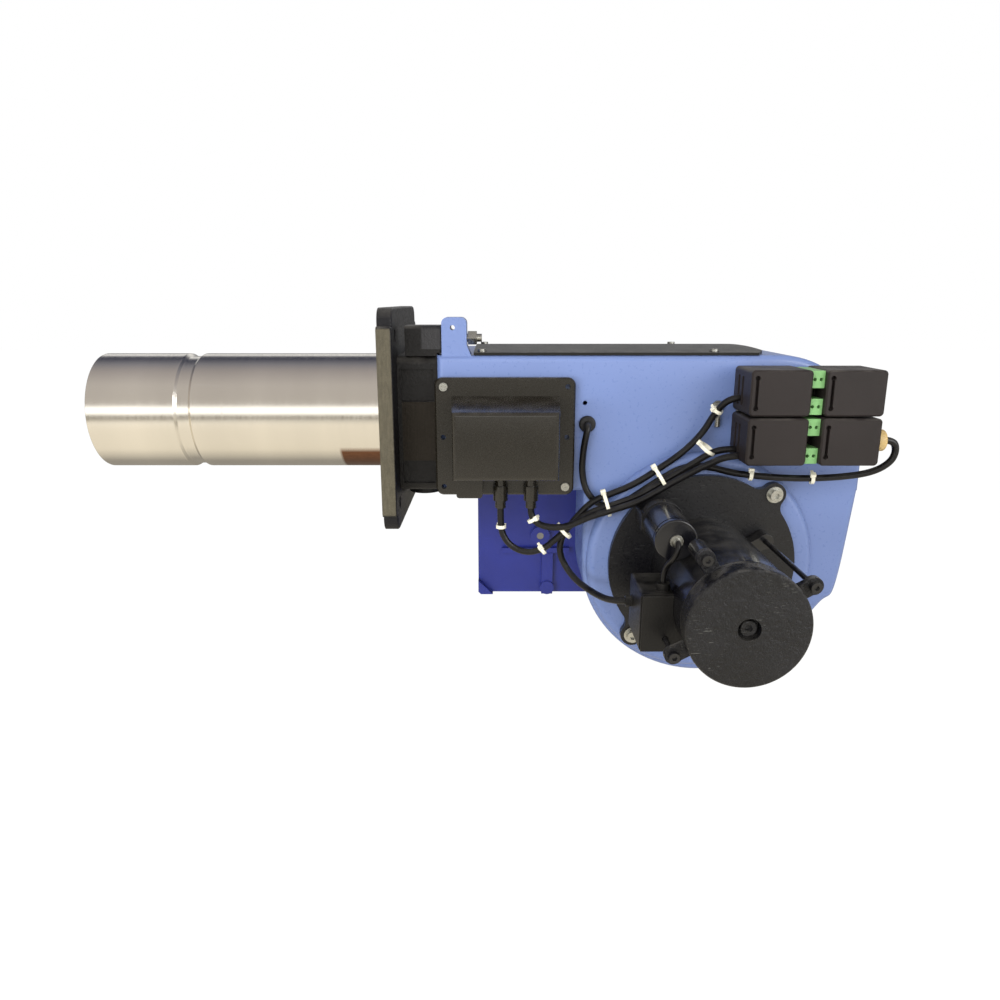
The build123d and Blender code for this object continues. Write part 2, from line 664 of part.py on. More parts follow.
def damper_flap():
    """Flat flap across the inside of the box, clamped on the spindle."""
    half = (DUCT_BOTTOM - BOX_BOTTOM) / 2 - BOX_WALL - FLAP_GAP
    y = (SCROLL_BACK_Y + BOX_WALL + FLAP_GAP, FAR_Y - BOX_WALL - FLAP_GAP)
    z = (damper_z() - half, damper_z() + half)
    flap = block((FLAP_X - FLAP_THICK / 2, FLAP_X + FLAP_THICK / 2), y, z)
    flap += rod("Y", SPINDLE_R + 3, y, (FLAP_X, damper_z()))
    return flap - rod("Y", SPINDLE_R, (y[0] - 1, y[1] + 1), (FLAP_X, damper_z()))


def damper_spindle():
    """Shaft of the flap, from the near boss to the servo drive."""
    return rod("Y", SPINDLE_R, (SCROLL_BACK_Y - 6.5, SERVO_Y[0] + 6), (FLAP_X, damper_z()))


def servo_coupling():
    """Collar that couples the spindle to the servo drive."""
    return ring("Y", 9, SPINDLE_R, COUPLING_Y, (FLAP_X, damper_z()))


def damper_servo():
    """Servo drive with rounded edges and an open drive socket."""
    x = (FLAP_X - SERVO[0] / 2, FLAP_X + SERVO[0] / 2)
    z = (damper_z() - SERVO[2] / 2, damper_z() + SERVO[2] / 2)
    body = block(x, SERVO_Y, z)
    body = fillet(body.edges().filter_by(Axis.Y), 5)
    body = chamfer(edge_loop(body, Axis.Y, SERVO_Y[1]), 2)
    return body - rod("Y", SPINDLE_R + RUN_GAP, (SERVO_Y[0] - 1, SERVO_Y[0] + 8), (FLAP_X, damper_z()))


def servo_bracket():
    """Two-legged sheet bracket from the box to the servo drive."""
    plate_z = damper_z() - SERVO[2] / 2
    legs = []
    for z in ((plate_z - 8, plate_z + 8), (plate_z + SERVO[2] - 8, plate_z + SERVO[2] + 8)):
        legs.append(block((FLAP_X - 20, FLAP_X + 20), (FAR_Y, SERVO_Y[0]), z))
    return Compound(children=legs)


def air_pressure_switch():
    """Round diaphragm switch on the far side of the duct, with its cap and port."""
    body = rod("Y", 26, (FAR_Y, FAR_Y + 16), SWITCH_AT)
    body += rod("Y", 34, (FAR_Y + 16, FAR_Y + 26), SWITCH_AT)
    body += rod("Y", 24, (FAR_Y + 26, SWITCH_END), SWITCH_AT)
    return fillet(edge_loop(body, Axis.Y, SWITCH_END), 3)


def inlet_ring():
    """Spun bell mouth that leads the air into the wheel."""
    start, end = SCROLL_BACK_Y - WALL - 4, SCROLL_BACK_Y + BOX_WALL
    arc = ThreePointArc((EYE_R, start), (EYE_R + 1.2, -6), (EYE_SEAT_R, end))
    back = Polyline((EYE_SEAT_R, end), (EYE_SEAT_R, SCROLL_BACK_Y - WALL),
                    (EYE_R + 2, SCROLL_BACK_Y - WALL), (EYE_R + 2, start), (EYE_R, start))
    section = make_face(Curve() + [arc, back])
    return Pos(FAN_X, 0, FAN_Z) * revolve(section, Axis.Y)


# --- fan wheel and shaft ------------------------------------------------------------------
def blade():
    """One forward-curved blade, seen along the shaft."""
    root, tip = BLADE_ROOT_R, WHEEL_R - 0.5
    middle = (root + tip) / 2
    lean = 7.0
    points = [(root, -2.0), (middle, -lean / 2 + 1.2), (tip, lean / 2)]
    front = ThreePointArc(*points)
    back = ThreePointArc(*[(x, z + BLADE_THICK) for x, z in points])
    ends = [Line(front @ 0, back @ 0), Line(front @ 1, back @ 1)]
    return make_face(Curve() + [front, back] + ends)


def fan_impeller():
    """Forward-curved wheel: back disc, blades and shroud ring in one piece."""
    centre = (FAN_X, FAN_Z)
    low, high = WHEEL_Y
    disc = rod("Y", WHEEL_R, (low, low + 2), centre)
    shroud = ring("Y", WHEEL_R, BLADE_ROOT_R - 1, (high - 2, high), centre)
    vane = prism("Y", blade(), (low + 1, high - 1))
    spots = [Pos(FAN_X, 0, FAN_Z) * Rot(0, index * 360 / BLADES, 0) for index in range(BLADES)]
    wheel = disc + shroud + [spot * vane for spot in spots]
    return wheel - rod("Y", HUB_R, (low - 1, low + 3), centre)


def fan_hub():
    """Hub that clamps the wheel on the shaft."""
    low = WHEEL_Y[0]
    centre = (FAN_X, FAN_Z)
    hub = rod("Y", HUB_R, (low, low + 34), centre) + rod("Y", HUB_R + 9, (low + 2, low + 6), centre)
    return hub - rod("Y", SHAFT_R, (low - 1, low + 40), centre)


def motor_shaft():
    """Shaft from the rear bearing to the hub."""
    end = WHEEL_Y[0] + 34
    start = bearing_seats()[1][0] + RUN_GAP
    return rod("Y", SHAFT_R, (start, end), (FAN_X, FAN_Z))


def hub_screw():
    """Screw and washer on the end of the shaft."""
    end = WHEEL_Y[0] + 34
    body = rod("Y", HUB_R - 2, (end, end + 2), (FAN_X, FAN_Z))
    return body + prism("Y", Pos(FAN_X, FAN_Z) * RegularPolygon(7, 6), (end + 2, end + 7))


def rotor_core():
    """Laminated rotor with short-circuit rings."""
    centre = (FAN_X, FAN_Z)
    body = ring("Y", STATOR_BORE_R - ROTOR_GAP, SHAFT_R, STATOR_Y, centre)
    for ends in ((STATOR_Y[0] - 7, STATOR_Y[0]), (STATOR_Y[1], STATOR_Y[1] + 7)):
        body += ring("Y", STATOR_BORE_R - 4, STATOR_BORE_R - 14, ends, centre)
    return body


# --- motor -----------------------------------------------------------------------------
def bearing_seats():
    """Front and rear bearing limits along Y."""
    front = (plate_y() - SHIELD_THICK - BEARING_WIDTH, plate_y() - SHIELD_THICK)
    rear = (SHELL_Y[0] + 3, SHELL_Y[0] + 3 + BEARING_WIDTH)
    return front, rear


def plate_y():
    """Face of the motor plate that the motor stands on."""
    return RAISED_Y - PLATE_THICK


def bearing_rings(outer, inner):
    """Both bearings' rings between two radii."""
    rings = [ring("Y", outer, inner, seat, (FAN_X, FAN_Z)) for seat in bearing_seats()]
    return Compound(children=rings)


def ear_points(angles):
    """Centres of the ears of the motor shields."""
    return [polar(EAR_AT, angle) for angle in angles]


def motor_plate():
    """Plate that closes the fan opening and carries the motor."""
    centre = (FAN_X, FAN_Z)
    y = (plate_y(), RAISED_Y)
    plate = rod("Y", PLATE_R, y, centre)
    for point in motor_screw_points():
        plate += rod("Y", LOBE_R, y, point)
    plate = fillet(plate.edges().filter_by(Axis.Y).filter_by(GeomType.LINE), LOBE_R)
    plate += rod("Y", MOTOR_HOLE_R - 0.5, (RAISED_Y, RAISED_Y + 3), centre)
    plate -= rod("Y", SHAFT_R + RUN_GAP, (y[0] - 1, RAISED_Y + 4), centre)
    for point in motor_screw_points():
        plate -= rod("Y", BOLT_R, (y[0] - 1, y[1] + 1), point)
    for point in ear_points(LONG_EARS):
        plate -= rod("Y", TIE_R, (y[0] - 1, y[0] + 6), point)
    return plate


def ears(angles, y):
    """Ears with arms to the round of the shell, drilled for their screws."""
    made = []
    for angle in angles:
        arm = Pos(EAR_AT / 2 + SHELL_R / 4, 0, 0) * Box(EAR_AT - SHELL_R / 2, y[1] - y[0], 2 * EAR_R - 2)
        arm = Pos(FAN_X, (y[0] + y[1]) / 2, FAN_Z) * Rot(0, -angle, 0) * arm
        ear = arm + rod("Y", EAR_R, y, polar(EAR_AT, angle))
        made.append(ear - rod("Y", TIE_R, (y[0] - 1, y[1] + 1), polar(EAR_AT, angle)))
    return made


def motor_front_shield():
    """Front shield on the motor plate with the front bearing seat."""
    front = bearing_seats()[0]
    centre = (FAN_X, FAN_Z)
    y = (SHELL_Y[1], plate_y())
    body = rod("Y", SHELL_R, y, centre) + ears(LONG_EARS, y)
    body -= rod("Y", BEARING_R, (y[0] - 1, front[1]), centre)
    body -= rod("Y", BEARING_SPLIT_R, (y[0] - 1, front[1] + 1), centre)
    return body - rod("Y", SHAFT_R + RUN_GAP, (y[0] - 1, y[1] + 1), centre)


def motor_end_shield():
    """Rear shield, whose hub holds the rear bearing."""
    rear = bearing_seats()[1]
    centre = (FAN_X, FAN_Z)
    y = (SHELL_Y[0] - SHIELD_THICK, SHELL_Y[0])
    body = rod("Y", SHELL_R, y, centre) + ears(LONG_EARS + SHORT_EARS, y)
    body += rod("Y", BEARING_R + 5, (SHELL_Y[0], rear[1]), centre)
    body -= rod("Y", BEARING_R, (rear[0], rear[1] + 1), centre)
    return body - rod("Y", BEARING_SPLIT_R, (rear[0] - 1, rear[1] + 1), centre)


def motor_shell():
    """Motor shell between the shields, with a boss for the short screw."""
    boss_y = (SHELL_Y[0], SHELL_Y[0] + EAR_BOSS)
    body = rod("Y", SHELL_R, SHELL_Y, (FAN_X, FAN_Z)) + ears(SHORT_EARS, boss_y)
    return body - rod("Y", SHELL_R - SHELL_WALL, (SHELL_Y[0] - 1, SHELL_Y[1] + 1), (FAN_X, FAN_Z))


def stator_core():
    """Slotted stator stack pressed in the shell."""
    core = ring("Y", SHELL_R - SHELL_WALL, STATOR_BORE_R, STATOR_Y, (FAN_X, FAN_Z))
    slot = block((STATOR_BORE_R - 1, STATOR_BORE_R + 11), STATOR_Y, (-1.5, 1.5))
    spots = [Pos(FAN_X, 0, FAN_Z) * Rot(0, index * 30, 0) for index in range(12)]
    return core - [spot * slot for spot in spots]


def stator_windings():
    """Winding heads on both ends of the stator."""
    heads = []
    for ends in ((STATOR_Y[0] - 16, STATOR_Y[0]), (STATOR_Y[1], STATOR_Y[1] + 16)):
        head = ring("Y", SHELL_R - SHELL_WALL - 3, STATOR_BORE_R + 2, ends, (FAN_X, FAN_Z))
        heads.append(fillet(head.edges().filter_by(GeomType.CIRCLE), 3))
    return Compound(children=heads)


def motor_end_cap():
    """Rough-cast cap over the rear shield, with a recess for its screw."""
    y = (CAP_END, SHELL_Y[0] - SHIELD_THICK)
    centre = (FAN_X, FAN_Z)
    cap = fillet(edge_loop(rod("Y", CAP_R, y, centre), Axis.Y, CAP_END), 2.5)
    cap -= rod("Y", CAP_RECESS_R, (CAP_END - 1, CAP_END + 9), centre)
    return cap - rod("Y", 3, (CAP_END, y[1] + 1), centre)


def end_cap_screw():
    """Screw in the recess of the cap."""
    seat = CAP_END + 9
    depth = SHELL_Y[0] - SHIELD_THICK - seat
    return screws("Y", -1, seat, [(FAN_X, FAN_Z)], (7, 6), 3, depth)


def tie_rods():
    """Long screws into the motor plate and a short one into the boss of the shell."""
    seat = SHELL_Y[0] - SHIELD_THICK
    head = (4.8, 5)
    long_set = screws("Y", -1, seat, ear_points(LONG_EARS), head, TIE_R, plate_y() + 5 - seat)
    short_set = screws("Y", -1, seat, ear_points(SHORT_EARS), head, TIE_R, EAR_BOSS)
    return Compound(children=long_set.solids() + short_set.solids())


def capacitor_at():
    """Centre of the capacitor, beside the motor shell."""
    return polar(SHELL_R + CAPACITOR_GAP + CAPACITOR_R, CAPACITOR_ANGLE)


def capacitor():
    """Can of the run capacitor with a rolled rim."""
    can = rod("Y", CAPACITOR_R, CAPACITOR_Y, capacitor_at())
    can = fillet(edge_loop(can, Axis.Y, CAPACITOR_Y[0]), 1.5)
    groove_y = (CAPACITOR_Y[0] + 6, CAPACITOR_Y[0] + 8)
    groove = ring("Y", CAPACITOR_R + 1, CAPACITOR_R - 0.8, groove_y, capacitor_at())
    return can - groove


def capacitor_gland():
    """Gland in the middle of the capacitor end."""
    y = CAPACITOR_Y[0]
    body = rod("Y", 6, (y - 3, y), capacitor_at())
    return body + rod("Y", 3.4, (y - 7, y - 3), capacitor_at())


def capacitor_clip():
    """Band around the can with a foot on the motor plate."""
    y = (CAPACITOR_Y[1] - 16, CAPACITOR_Y[1] - 4)
    band = ring("Y", CAPACITOR_R + 1.5, CAPACITOR_R, y, capacitor_at())
    x, z = capacitor_at()
    foot_x = (x - CAPACITOR_R - 1.5, x - CAPACITOR_R + 1)
    leg = block(foot_x, (y[0], plate_y()), (z - 8, z + 8))
    leg -= rod("Y", CAPACITOR_R, (y[0] - 1, plate_y() + 1), capacitor_at())
    return band + leg


def terminal_box():
    """Moulded box that fits the round of the motor shell."""
    body = block(TERMINAL_X, TERMINAL_Y, TERMINAL_Z)
    body = fillet(body.edges().filter_by(Axis.Y).sort_by(Axis.X)[:2], 3)
    gland = rod("Z", 6.5, (TERMINAL_Z[1], TERMINAL_Z[1] + 7), terminal_gland())
    body += gland
    body += rod("X", 5.5, (TERMINAL_X[0] - 6, TERMINAL_X[0] + 1), lead_entry())
    return body - terminal_cuts(TERMINAL_Y)


def terminal_cuts(y):
    """Round of the shell and the tunnel for the long screw that passes the box."""
    past = (y[0] - 1, y[1] + 1)
    return rod("Y", SHELL_R, past, (FAN_X, FAN_Z)) + rod("Y", TIE_R + RUN_GAP, past, ear_points(LONG_EARS)[1])


def terminal_gland():
    """Place of the capacitor lead's gland on top of the terminal box."""
    return (TERMINAL_X[0] + 22, TERMINAL_Y[0] + 12)


def lead_entry():
    """Place of the mains lead's gland on the left of the terminal box."""
    return (TERMINAL_Y[1] - 9, -166.0)


def terminal_lid():
    """Lid of the terminal box, on its near side."""
    y = (TERMINAL_Y[0] - 4, TERMINAL_Y[0])
    lid = block((TERMINAL_X[0] + 1, TERMINAL_X[1]), y, (TERMINAL_Z[0] + 1, TERMINAL_Z[1] - 1))
    return lid - terminal_cuts(y)


# --- ignition transformer ------------------------------------------------------------------
def transformer_body():
    """Moulded transformer: flange, raised coil block with sloping sides, two spouts."""
    base_y = (NEAR_Y - TRANSFORMER_BASE, NEAR_Y)
    base = block(TRANSFORMER_X, base_y, TRANSFORMER_Z)
    base = fillet(base.edges().filter_by(Axis.Y), 8)
    base = chamfer(edge_loop(base, Axis.Y, base_y[0]), 1.5)
    foot_x = (COIL_X[0] - 3, COIL_X[1] + 3)
    foot_z = (COIL_Z[0] - 3, COIL_Z[1] + 10)
    bottom = polygon(*rectangle_points(foot_x, foot_z))
    top = polygon(*rectangle_points(COIL_X, COIL_Z))
    faces = [Plane.XZ.offset(-base_y[0]) * bottom, Plane.XZ.offset(-TRANSFORMER_FRONT) * top]
    coil = loft(Sketch() + faces)
    coil = fillet(coil.edges().group_by(Axis.Y)[0], 4)
    wing_z = (TRANSFORMER_Z[0] + 3, COIL_Z[0])
    wing = block((COIL_X[0] + 2, COIL_X[0] + 28), (base_y[0] - 26, base_y[0]), wing_z)
    wing = fillet(wing.edges().filter_by(Axis.Y), 3)
    body = base + coil + wing
    for x in SPOUTS_X:
        body += rod("Z", SPOUT_R, (SPOUT_END, COIL_Z[0] + 4), (x, SPOUT_Y))
        body += rod("Z", SPOUT_R + 2, (TRANSFORMER_Z[0] - 3, TRANSFORMER_Z[0] + 12), (x, SPOUT_Y))
    for point in transformer_holes():
        body -= rod("Y", 2.6, (base_y[0] - 1, NEAR_Y + 1), point)
    for hole in shanks("Y", base_y[0], -1, TRANSFORMER_SCREWS, SCREW_R, TRANSFORMER_BASE + 1):
        body -= hole
    return body


def rectangle_points(x, z):
    """Corners of a rectangle."""
    return [(x[0], z[0]), (x[1], z[0]), (x[1], z[1]), (x[0], z[1])]


def transformer_holes():
    """Open moulding holes along the left and right edges."""
    left, right = TRANSFORMER_X[0] + 8, TRANSFORMER_X[1] - 8
    low, high = TRANSFORMER_Z[0] + 9, TRANSFORMER_Z[1] - 9
    middle = (low + high) / 2
    return [(right, high), (left, middle), (right, middle), (left, low)]


# --- plugs, inserts and bracket ------------------------------------------------------------
def plug(x, z):
    """One moulded plug with a keyed left end and ribbed top and bottom."""
    body = block(x, (PLUG_FRONT, PLUG_BACK), z)
    body = fillet(body.edges().filter_by(Axis.Y), 4)
    body = chamfer(edge_loop(body, Axis.Y, PLUG_FRONT), 1.5)
    middle = (z[0] + z[1]) / 2
    body -= block((x[0] + 4, x[0] + 7), (PLUG_FRONT - 1, PLUG_FRONT + 5), (middle - 12, middle + 12))
    for offset in (-14.0, 14.0):
        body -= rod("Y", 2.4, (PLUG_FRONT - 1, PLUG_FRONT + 6), (x[0] + 5.5, middle + offset))
    for offset in (-30.0, -18.0):
        rib_y = (PLUG_BACK + offset, PLUG_BACK + offset + 6)
        body -= block((x[0] - 1, x[0] + 1.2), rib_y, (middle - 14, middle + 14))
    return body


def plug_set():
    """All plugs, two columns by two rows."""
    return Compound(children=[plug(x, z) for x in PLUG_COLUMNS for z in PLUG_ROWS])


def insert_x():
    """Limits of the terminal inserts between the two columns."""
    middle = (PLUG_COLUMNS[0][1] + PLUG_COLUMNS[1][0]) / 2
    return (middle - INSERT_WIDTH / 2, middle + INSERT_WIDTH / 2)


def plug_inserts():
    """Terminal strips between the plugs, with the test sockets."""
    pieces = []
    for z in PLUG_ROWS:
        for low, high in ((z[0] + 1, z[0] + 16), (z[1] - 17, z[1] - 1)):
            piece = block(insert_x(), (PLUG_FRONT + 6, PLUG_BACK - SCREW_HEAD - 0.5), (low, high))
            middle = sum(insert_x()) / 2
            for offset in (-3.0, 3.0):
                socket = (middle + offset, (low + high) / 2)
                piece -= rod("Y", 1.6, (PLUG_FRONT + 5, PLUG_FRONT + 14), socket)
            pieces.append(piece)
    return Compound(children=pieces)


def plug_bracket():
    """Sheet bracket that holds the plugs off the housing."""
    x = (PLUG_COLUMNS[0][0] + 4, PLUG_COLUMNS[1][1] - 4)
    z = (PLUG_ROWS[1][0] + 4, PLUG_ROWS[0][1] - 4)
    body = block(x, (PLUG_BACK, PLUG_BACK + 3), z)
    stem_x = insert_x()
    body += block((stem_x[0] - 4, stem_x[1] + 4), (PLUG_BACK, NEAR_Y), (z[0], z[0] + 18))
    body += block((stem_x[0] - 4, stem_x[1] + 4), (PLUG_BACK, NEAR_Y), (z[1] - 18, z[1]))
    for hole in shanks("Y", NEAR_Y, 1, BRACKET_SCREWS, SCREW_R, 20):
        body -= hole
    return body


def plug_gland():
    """Gland at the right end of the lower right plug."""
    x = PLUG_COLUMNS[1][1]
    body = rod("X", 8, (x, x + 5), (-128, -12)) + rod("X", 10.5, (x + 5, x + 13), (-128, -12))
    return fillet(edge_loop(body, Axis.X, x + 13), 2)


def cable_grommet():
    """Rubber grommet in the side wall."""
    x, z, radius = GROMMET
    body = rod("Y", radius, (NEAR_Y - 4, NEAR_Y), (x, z))
    body = fillet(edge_loop(body, Axis.Y, NEAR_Y - 4), 2)
    return body + rod("Y", radius - 2, (NEAR_Y, NEAR_Y + WALL), (x, z))


def earth_lug():
    """Ring lug with its crimp."""
    x, z = EARTH
    lug = ring("Y", 6, SCREW_R, (NEAR_Y - LUG_SHEET, NEAR_Y), EARTH)
    lug += block((x - 3, x + 3), (NEAR_Y - LUG_SHEET, NEAR_Y), (z - 12, z - 4.5))
    return lug + rod("Z", 3, (z - 20, z - 11), (x, NEAR_Y - 3))


# --- leads -------------------------------------------------------------------------------
def cord(points, radius):
    """Tube along a route; the bends take the room that the runs leave."""
    radii = []
    for before, here, after in zip(points, points[1:], points[2:]):
        a = Vector(*here) - Vector(*before)
        b = Vector(*after) - Vector(*here)
        half_turn = radians(a.get_angle(b)) / 2
        radii.append(0.45 * min(a.length, b.length) / tan(half_turn))
    route = FilletPolyline(*points, radius=radii)
    return sweep(Plane(route @ 0, z_dir=route % 0) * Circle(radius), path=route), route, radii


LEADS = {
    # terminal box to the bundle and up to the upper left plug
    "motor_lead": (LEAD_R, [
        (242, -159, -166), (234, -159, -166), (223, -148, -168), (211, -126, -168), (198, -108, -163),
        (187, -99.5, -150), (181, -99.5, -134), (184, -99.5, -117), (197, -99.5, -99),
        (214, -99.5, -80), (235, -99.5, -72), (258, -99.5, -62), (280, -99.5, -47),
        (304, -99.5, -30), (323, -99.5, -10), (332, -105, 11), (341, -118, 27), (351.5, -118, 28)]),
    # left transformer spout, a hanging loop, then the bundle to the lower left plug
    "spout_lead_left": (LEAD_R, [
        (120, -104, -86.2), (120, -104, -97), (121, -105, -113), (130, -106, -127),
        (147, -107, -134), (164, -107, -130), (178, -107, -118), (192, -107, -104),
        (209, -107, -91), (236, -107, -82), (262, -107, -72), (287, -107, -56),
        (311, -107, -41), (329, -110, -28), (341, -116, -23), (351.8, -116, -23)]),
    # grommet down to the bundle and along under the plugs to the gland
    "ignition_lead": (LEAD_R, [
        (208.3, -89.5, -2.8), (208.3, -96, -3.6), (206, -97, -14), (204, -93, -32), (203.5, -91, -52),
        (208, -91, -72), (222, -92, -87), (241, -99.5, -86), (260, -99.5, -73),
        (282, -99.5, -57.5), (307, -99.5, -43), (332, -101, -44), (356, -106, -50),
        (390, -109, -53), (424, -112, -54), (460, -117, -51), (486, -124, -45),
        (501, -128, -34), (505, -128, -22), (501, -128, -12), (491.2, -128, -12)]),
    # right transformer spout over to the bundle and the lower left plug
    "spout_lead_right": (LEAD_R, [
        (151, -104, -86.2), (151, -104, -95), (159, -106, -104), (174, -110, -106), (190, -114, -103),
        (209, -115, -93), (236, -115, -85), (262, -115, -76), (287, -115, -60),
        (311, -116, -46), (328, -121, -36), (340, -125, -29), (351.5, -125, -28)]),
}


def capacitor_lead():
    """Route of the short lead from the capacitor gland to the terminal box."""
    x, z = capacitor_at()
    y = CAPACITOR_Y[0] - 7.2
    bottom = (*terminal_gland(), TERMINAL_Z[1] + 7.2)
    return [(x, y, z), (x, y - 5, z), (x - 3, y - 7, z - 11), (bottom[0], bottom[1], bottom[2] + 14), bottom]


def panel_screws():
    """Small screws of the cover, the intake box, the transformer, the plugs and the earth lug."""
    head = (SCREW_HEAD_R, SCREW_HEAD)
    sets = [
        ("Z", 1, DUCT_TOP + COVER_THICK - 0.6, cover_screw_points(), 7),
        ("Z", -1, DUCT_BOTTOM - BOX_WALL, intake_screw_points(), BOX_WALL + WALL),
        ("Y", -1, NEAR_Y - TRANSFORMER_BASE, TRANSFORMER_SCREWS, TRANSFORMER_BASE + WALL),
        ("Y", -1, PLUG_BACK, BRACKET_SCREWS, NEAR_Y - PLUG_BACK + WALL),
        ("Y", -1, NEAR_Y - LUG_SHEET, [EARTH], WALL + LUG_SHEET),
    ]
    made = [screws(axis, out, seat, points, head, SCREW_R, depth) for axis, out, seat, points, depth in sets]
    return Compound(children=[solid for group in made for solid in group.solids()])


def build():
    """Write every sub-part and return the names."""
    save("blast_tube", blast_tube())
    save("mounting_flange", mounting_flange())
    save("neck_casting", neck_casting())
    bolt_head = (BOLT_HEAD_R, BOLT_HEAD)
    save("joint_screws", screws("X", 1, NECK_END + WALL, NECK_SCREW_POINTS, bolt_head, BOLT_R, 31))
    save("gas_manifold", gas_manifold())
    save("gas_pipe", gas_pipe())
    save("gas_nozzle", gas_nozzle())
    save("diffuser_disc", diffuser_disc())
    save("ignition_electrodes", Compound(children=[electrode(60, -20), electrode(120, 20)]))
    save("flame_electrode", electrode(240, 180))
    save("electrode_clamp", electrode_clamp())
    save("adjusting_arm", adjusting_arm())
    save("adjusting_rod", adjusting_rod())
    save("adjusting_nut", adjusting_nut())
    save("main_housing", main_housing())
    save("top_cover", top_cover())
    save("panel_screws", panel_screws())
    save("intake_box", intake_box())
    save("inlet_ring", inlet_ring())
    save("damper_flap", damper_flap())
    save("damper_spindle", damper_spindle())
    save("servo_coupling", servo_coupling())
    save("damper_servo", damper_servo())
    save("servo_bracket", servo_bracket())
    save("air_pressure_switch", air_pressure_switch())
    save("fan_impeller", fan_impeller())
    save("fan_hub", fan_hub())
    save("motor_shaft", motor_shaft())
    save("hub_screw", hub_screw())
    save("rotor_core", rotor_core())
    save("bearing_inner_rings", bearing_rings(BEARING_SPLIT_R - RUN_GAP, SHAFT_R))
    save("bearing_outer_rings", bearing_rings(BEARING_R, BEARING_SPLIT_R))
    save("motor_plate", motor_plate())
    plate_seat = plate_y() - WASHER
    save("plate_washers", washers("Y", -1, plate_y(), motor_screw_points(), WASHER_R, BOLT_R, WASHER))
    save("plate_screws", screws("Y", -1, plate_seat, motor_screw_points(), bolt_head, BOLT_R, 18))
    save("motor_front_shield", motor_front_shield())
    save("motor_shell", motor_shell())
    save("stator_core", stator_core())
    save("stator_windings", stator_windings())
    save("motor_end_shield", motor_end_shield())
    save("motor_end_cap", motor_end_cap())
    save("end_cap_screw", end_cap_screw())
    save("tie_rods", tie_rods())
    save("capacitor_can", capacitor())
    save("capacitor_gland", capacitor_gland())
    save("capacitor_clip", capacitor_clip())
    save("terminal_box", terminal_box())
    save("terminal_lid", terminal_lid())
    save("ignition_transformer", transformer_body())
    save("plug_housings", plug_set())
    save("plug_inserts", plug_inserts())
    save("plug_bracket", plug_bracket())
    save("plug_gland", plug_gland())
    save("cable_grommet", cable_grommet())
    save("earth_lug", earth_lug())
    routes = dict(LEADS)
    routes["capacitor_lead"] = (2.6, capacitor_lead())
    for name, (radius, points) in routes.items():
        tube, route, radii = cord(points, radius)
        print(name, "length", round(route.length, 1), "smallest radius", round(min(radii), 1),
              "volume ratio", round(tube.volume / (3.14159 * radius**2 * route.length), 4))
        save(name, tube)


os.makedirs("parts", exist_ok=True)
build()
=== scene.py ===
import json
import math

import bmesh
import bpy
from mathutils import Matrix, Vector


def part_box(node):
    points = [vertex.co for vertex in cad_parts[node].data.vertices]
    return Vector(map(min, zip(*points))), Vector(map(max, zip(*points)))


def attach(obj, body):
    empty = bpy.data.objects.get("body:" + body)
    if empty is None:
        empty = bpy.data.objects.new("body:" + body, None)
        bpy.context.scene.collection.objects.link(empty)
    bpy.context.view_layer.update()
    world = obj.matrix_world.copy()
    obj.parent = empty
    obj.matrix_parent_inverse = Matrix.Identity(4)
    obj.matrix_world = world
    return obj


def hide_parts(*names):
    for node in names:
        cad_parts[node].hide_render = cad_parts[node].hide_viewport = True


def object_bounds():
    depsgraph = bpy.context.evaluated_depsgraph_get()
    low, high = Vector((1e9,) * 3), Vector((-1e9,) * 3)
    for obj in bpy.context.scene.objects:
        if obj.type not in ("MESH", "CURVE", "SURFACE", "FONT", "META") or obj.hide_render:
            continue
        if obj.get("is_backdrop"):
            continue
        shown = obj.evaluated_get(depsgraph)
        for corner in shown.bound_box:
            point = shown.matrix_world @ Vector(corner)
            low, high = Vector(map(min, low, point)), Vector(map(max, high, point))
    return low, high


MM = 0.001
FLOAT = "NodeSocketFloat"
VECTOR = "NodeSocketVector"
GEOMETRY = "NodeSocketGeometry"
MATERIAL = "NodeSocketMaterial"

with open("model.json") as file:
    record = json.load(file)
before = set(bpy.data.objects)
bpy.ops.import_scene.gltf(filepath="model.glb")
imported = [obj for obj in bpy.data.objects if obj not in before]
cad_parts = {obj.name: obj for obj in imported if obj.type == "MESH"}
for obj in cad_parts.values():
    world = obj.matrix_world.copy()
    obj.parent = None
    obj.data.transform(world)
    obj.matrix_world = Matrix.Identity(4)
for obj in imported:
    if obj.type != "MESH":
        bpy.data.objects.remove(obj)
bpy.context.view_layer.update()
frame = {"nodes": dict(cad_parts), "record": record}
record = frame["record"]
body_of = {node: body for body, nodes in record["behaviour"]["bodies"].items() for node in nodes}


# --- node helpers --------------------------------------------------------------------
def add(tree, kind, values=None, **settings):
    """A node made at once with its settings and, for its inputs, values or links."""
    node = tree.nodes.new(kind)
    for key, value in settings.items():
        setattr(node, key, value)
    for socket, value in (values or {}).items():
        if isinstance(value, bpy.types.NodeSocket):
            tree.links.new(value, node.inputs[socket])
        else:
            node.inputs[socket].default_value = value
    return node


def calculate(tree, operation, first, second, clamp=False):
    """One sum, product or angle from two values."""
    return add(tree, "ShaderNodeMath", {0: first, 1: second}, operation=operation, use_clamp=clamp).outputs[0]


def product(tree, first, second, clamp=False):
    """Two values multiplied."""
    return calculate(tree, "MULTIPLY", first, second, clamp)


def graded(tree, value, start, end, low=0.0, high=1.0):
    """low where the value is at start, high where it is at end, even between them and level beyond."""
    values = {"Value": value, "From Min": start, "From Max": end, "To Min": low, "To Max": high}
    return add(tree, "ShaderNodeMapRange", values).outputs["Result"]


def noise(tree, place, scale, detail=2.0, roughness=0.5):
    """Cloudy noise from 0 to 1."""
    values = {"Vector": place, "Scale": scale, "Detail": detail, "Roughness": roughness}
    return add(tree, "ShaderNodeTexNoise", values).outputs["Fac"]


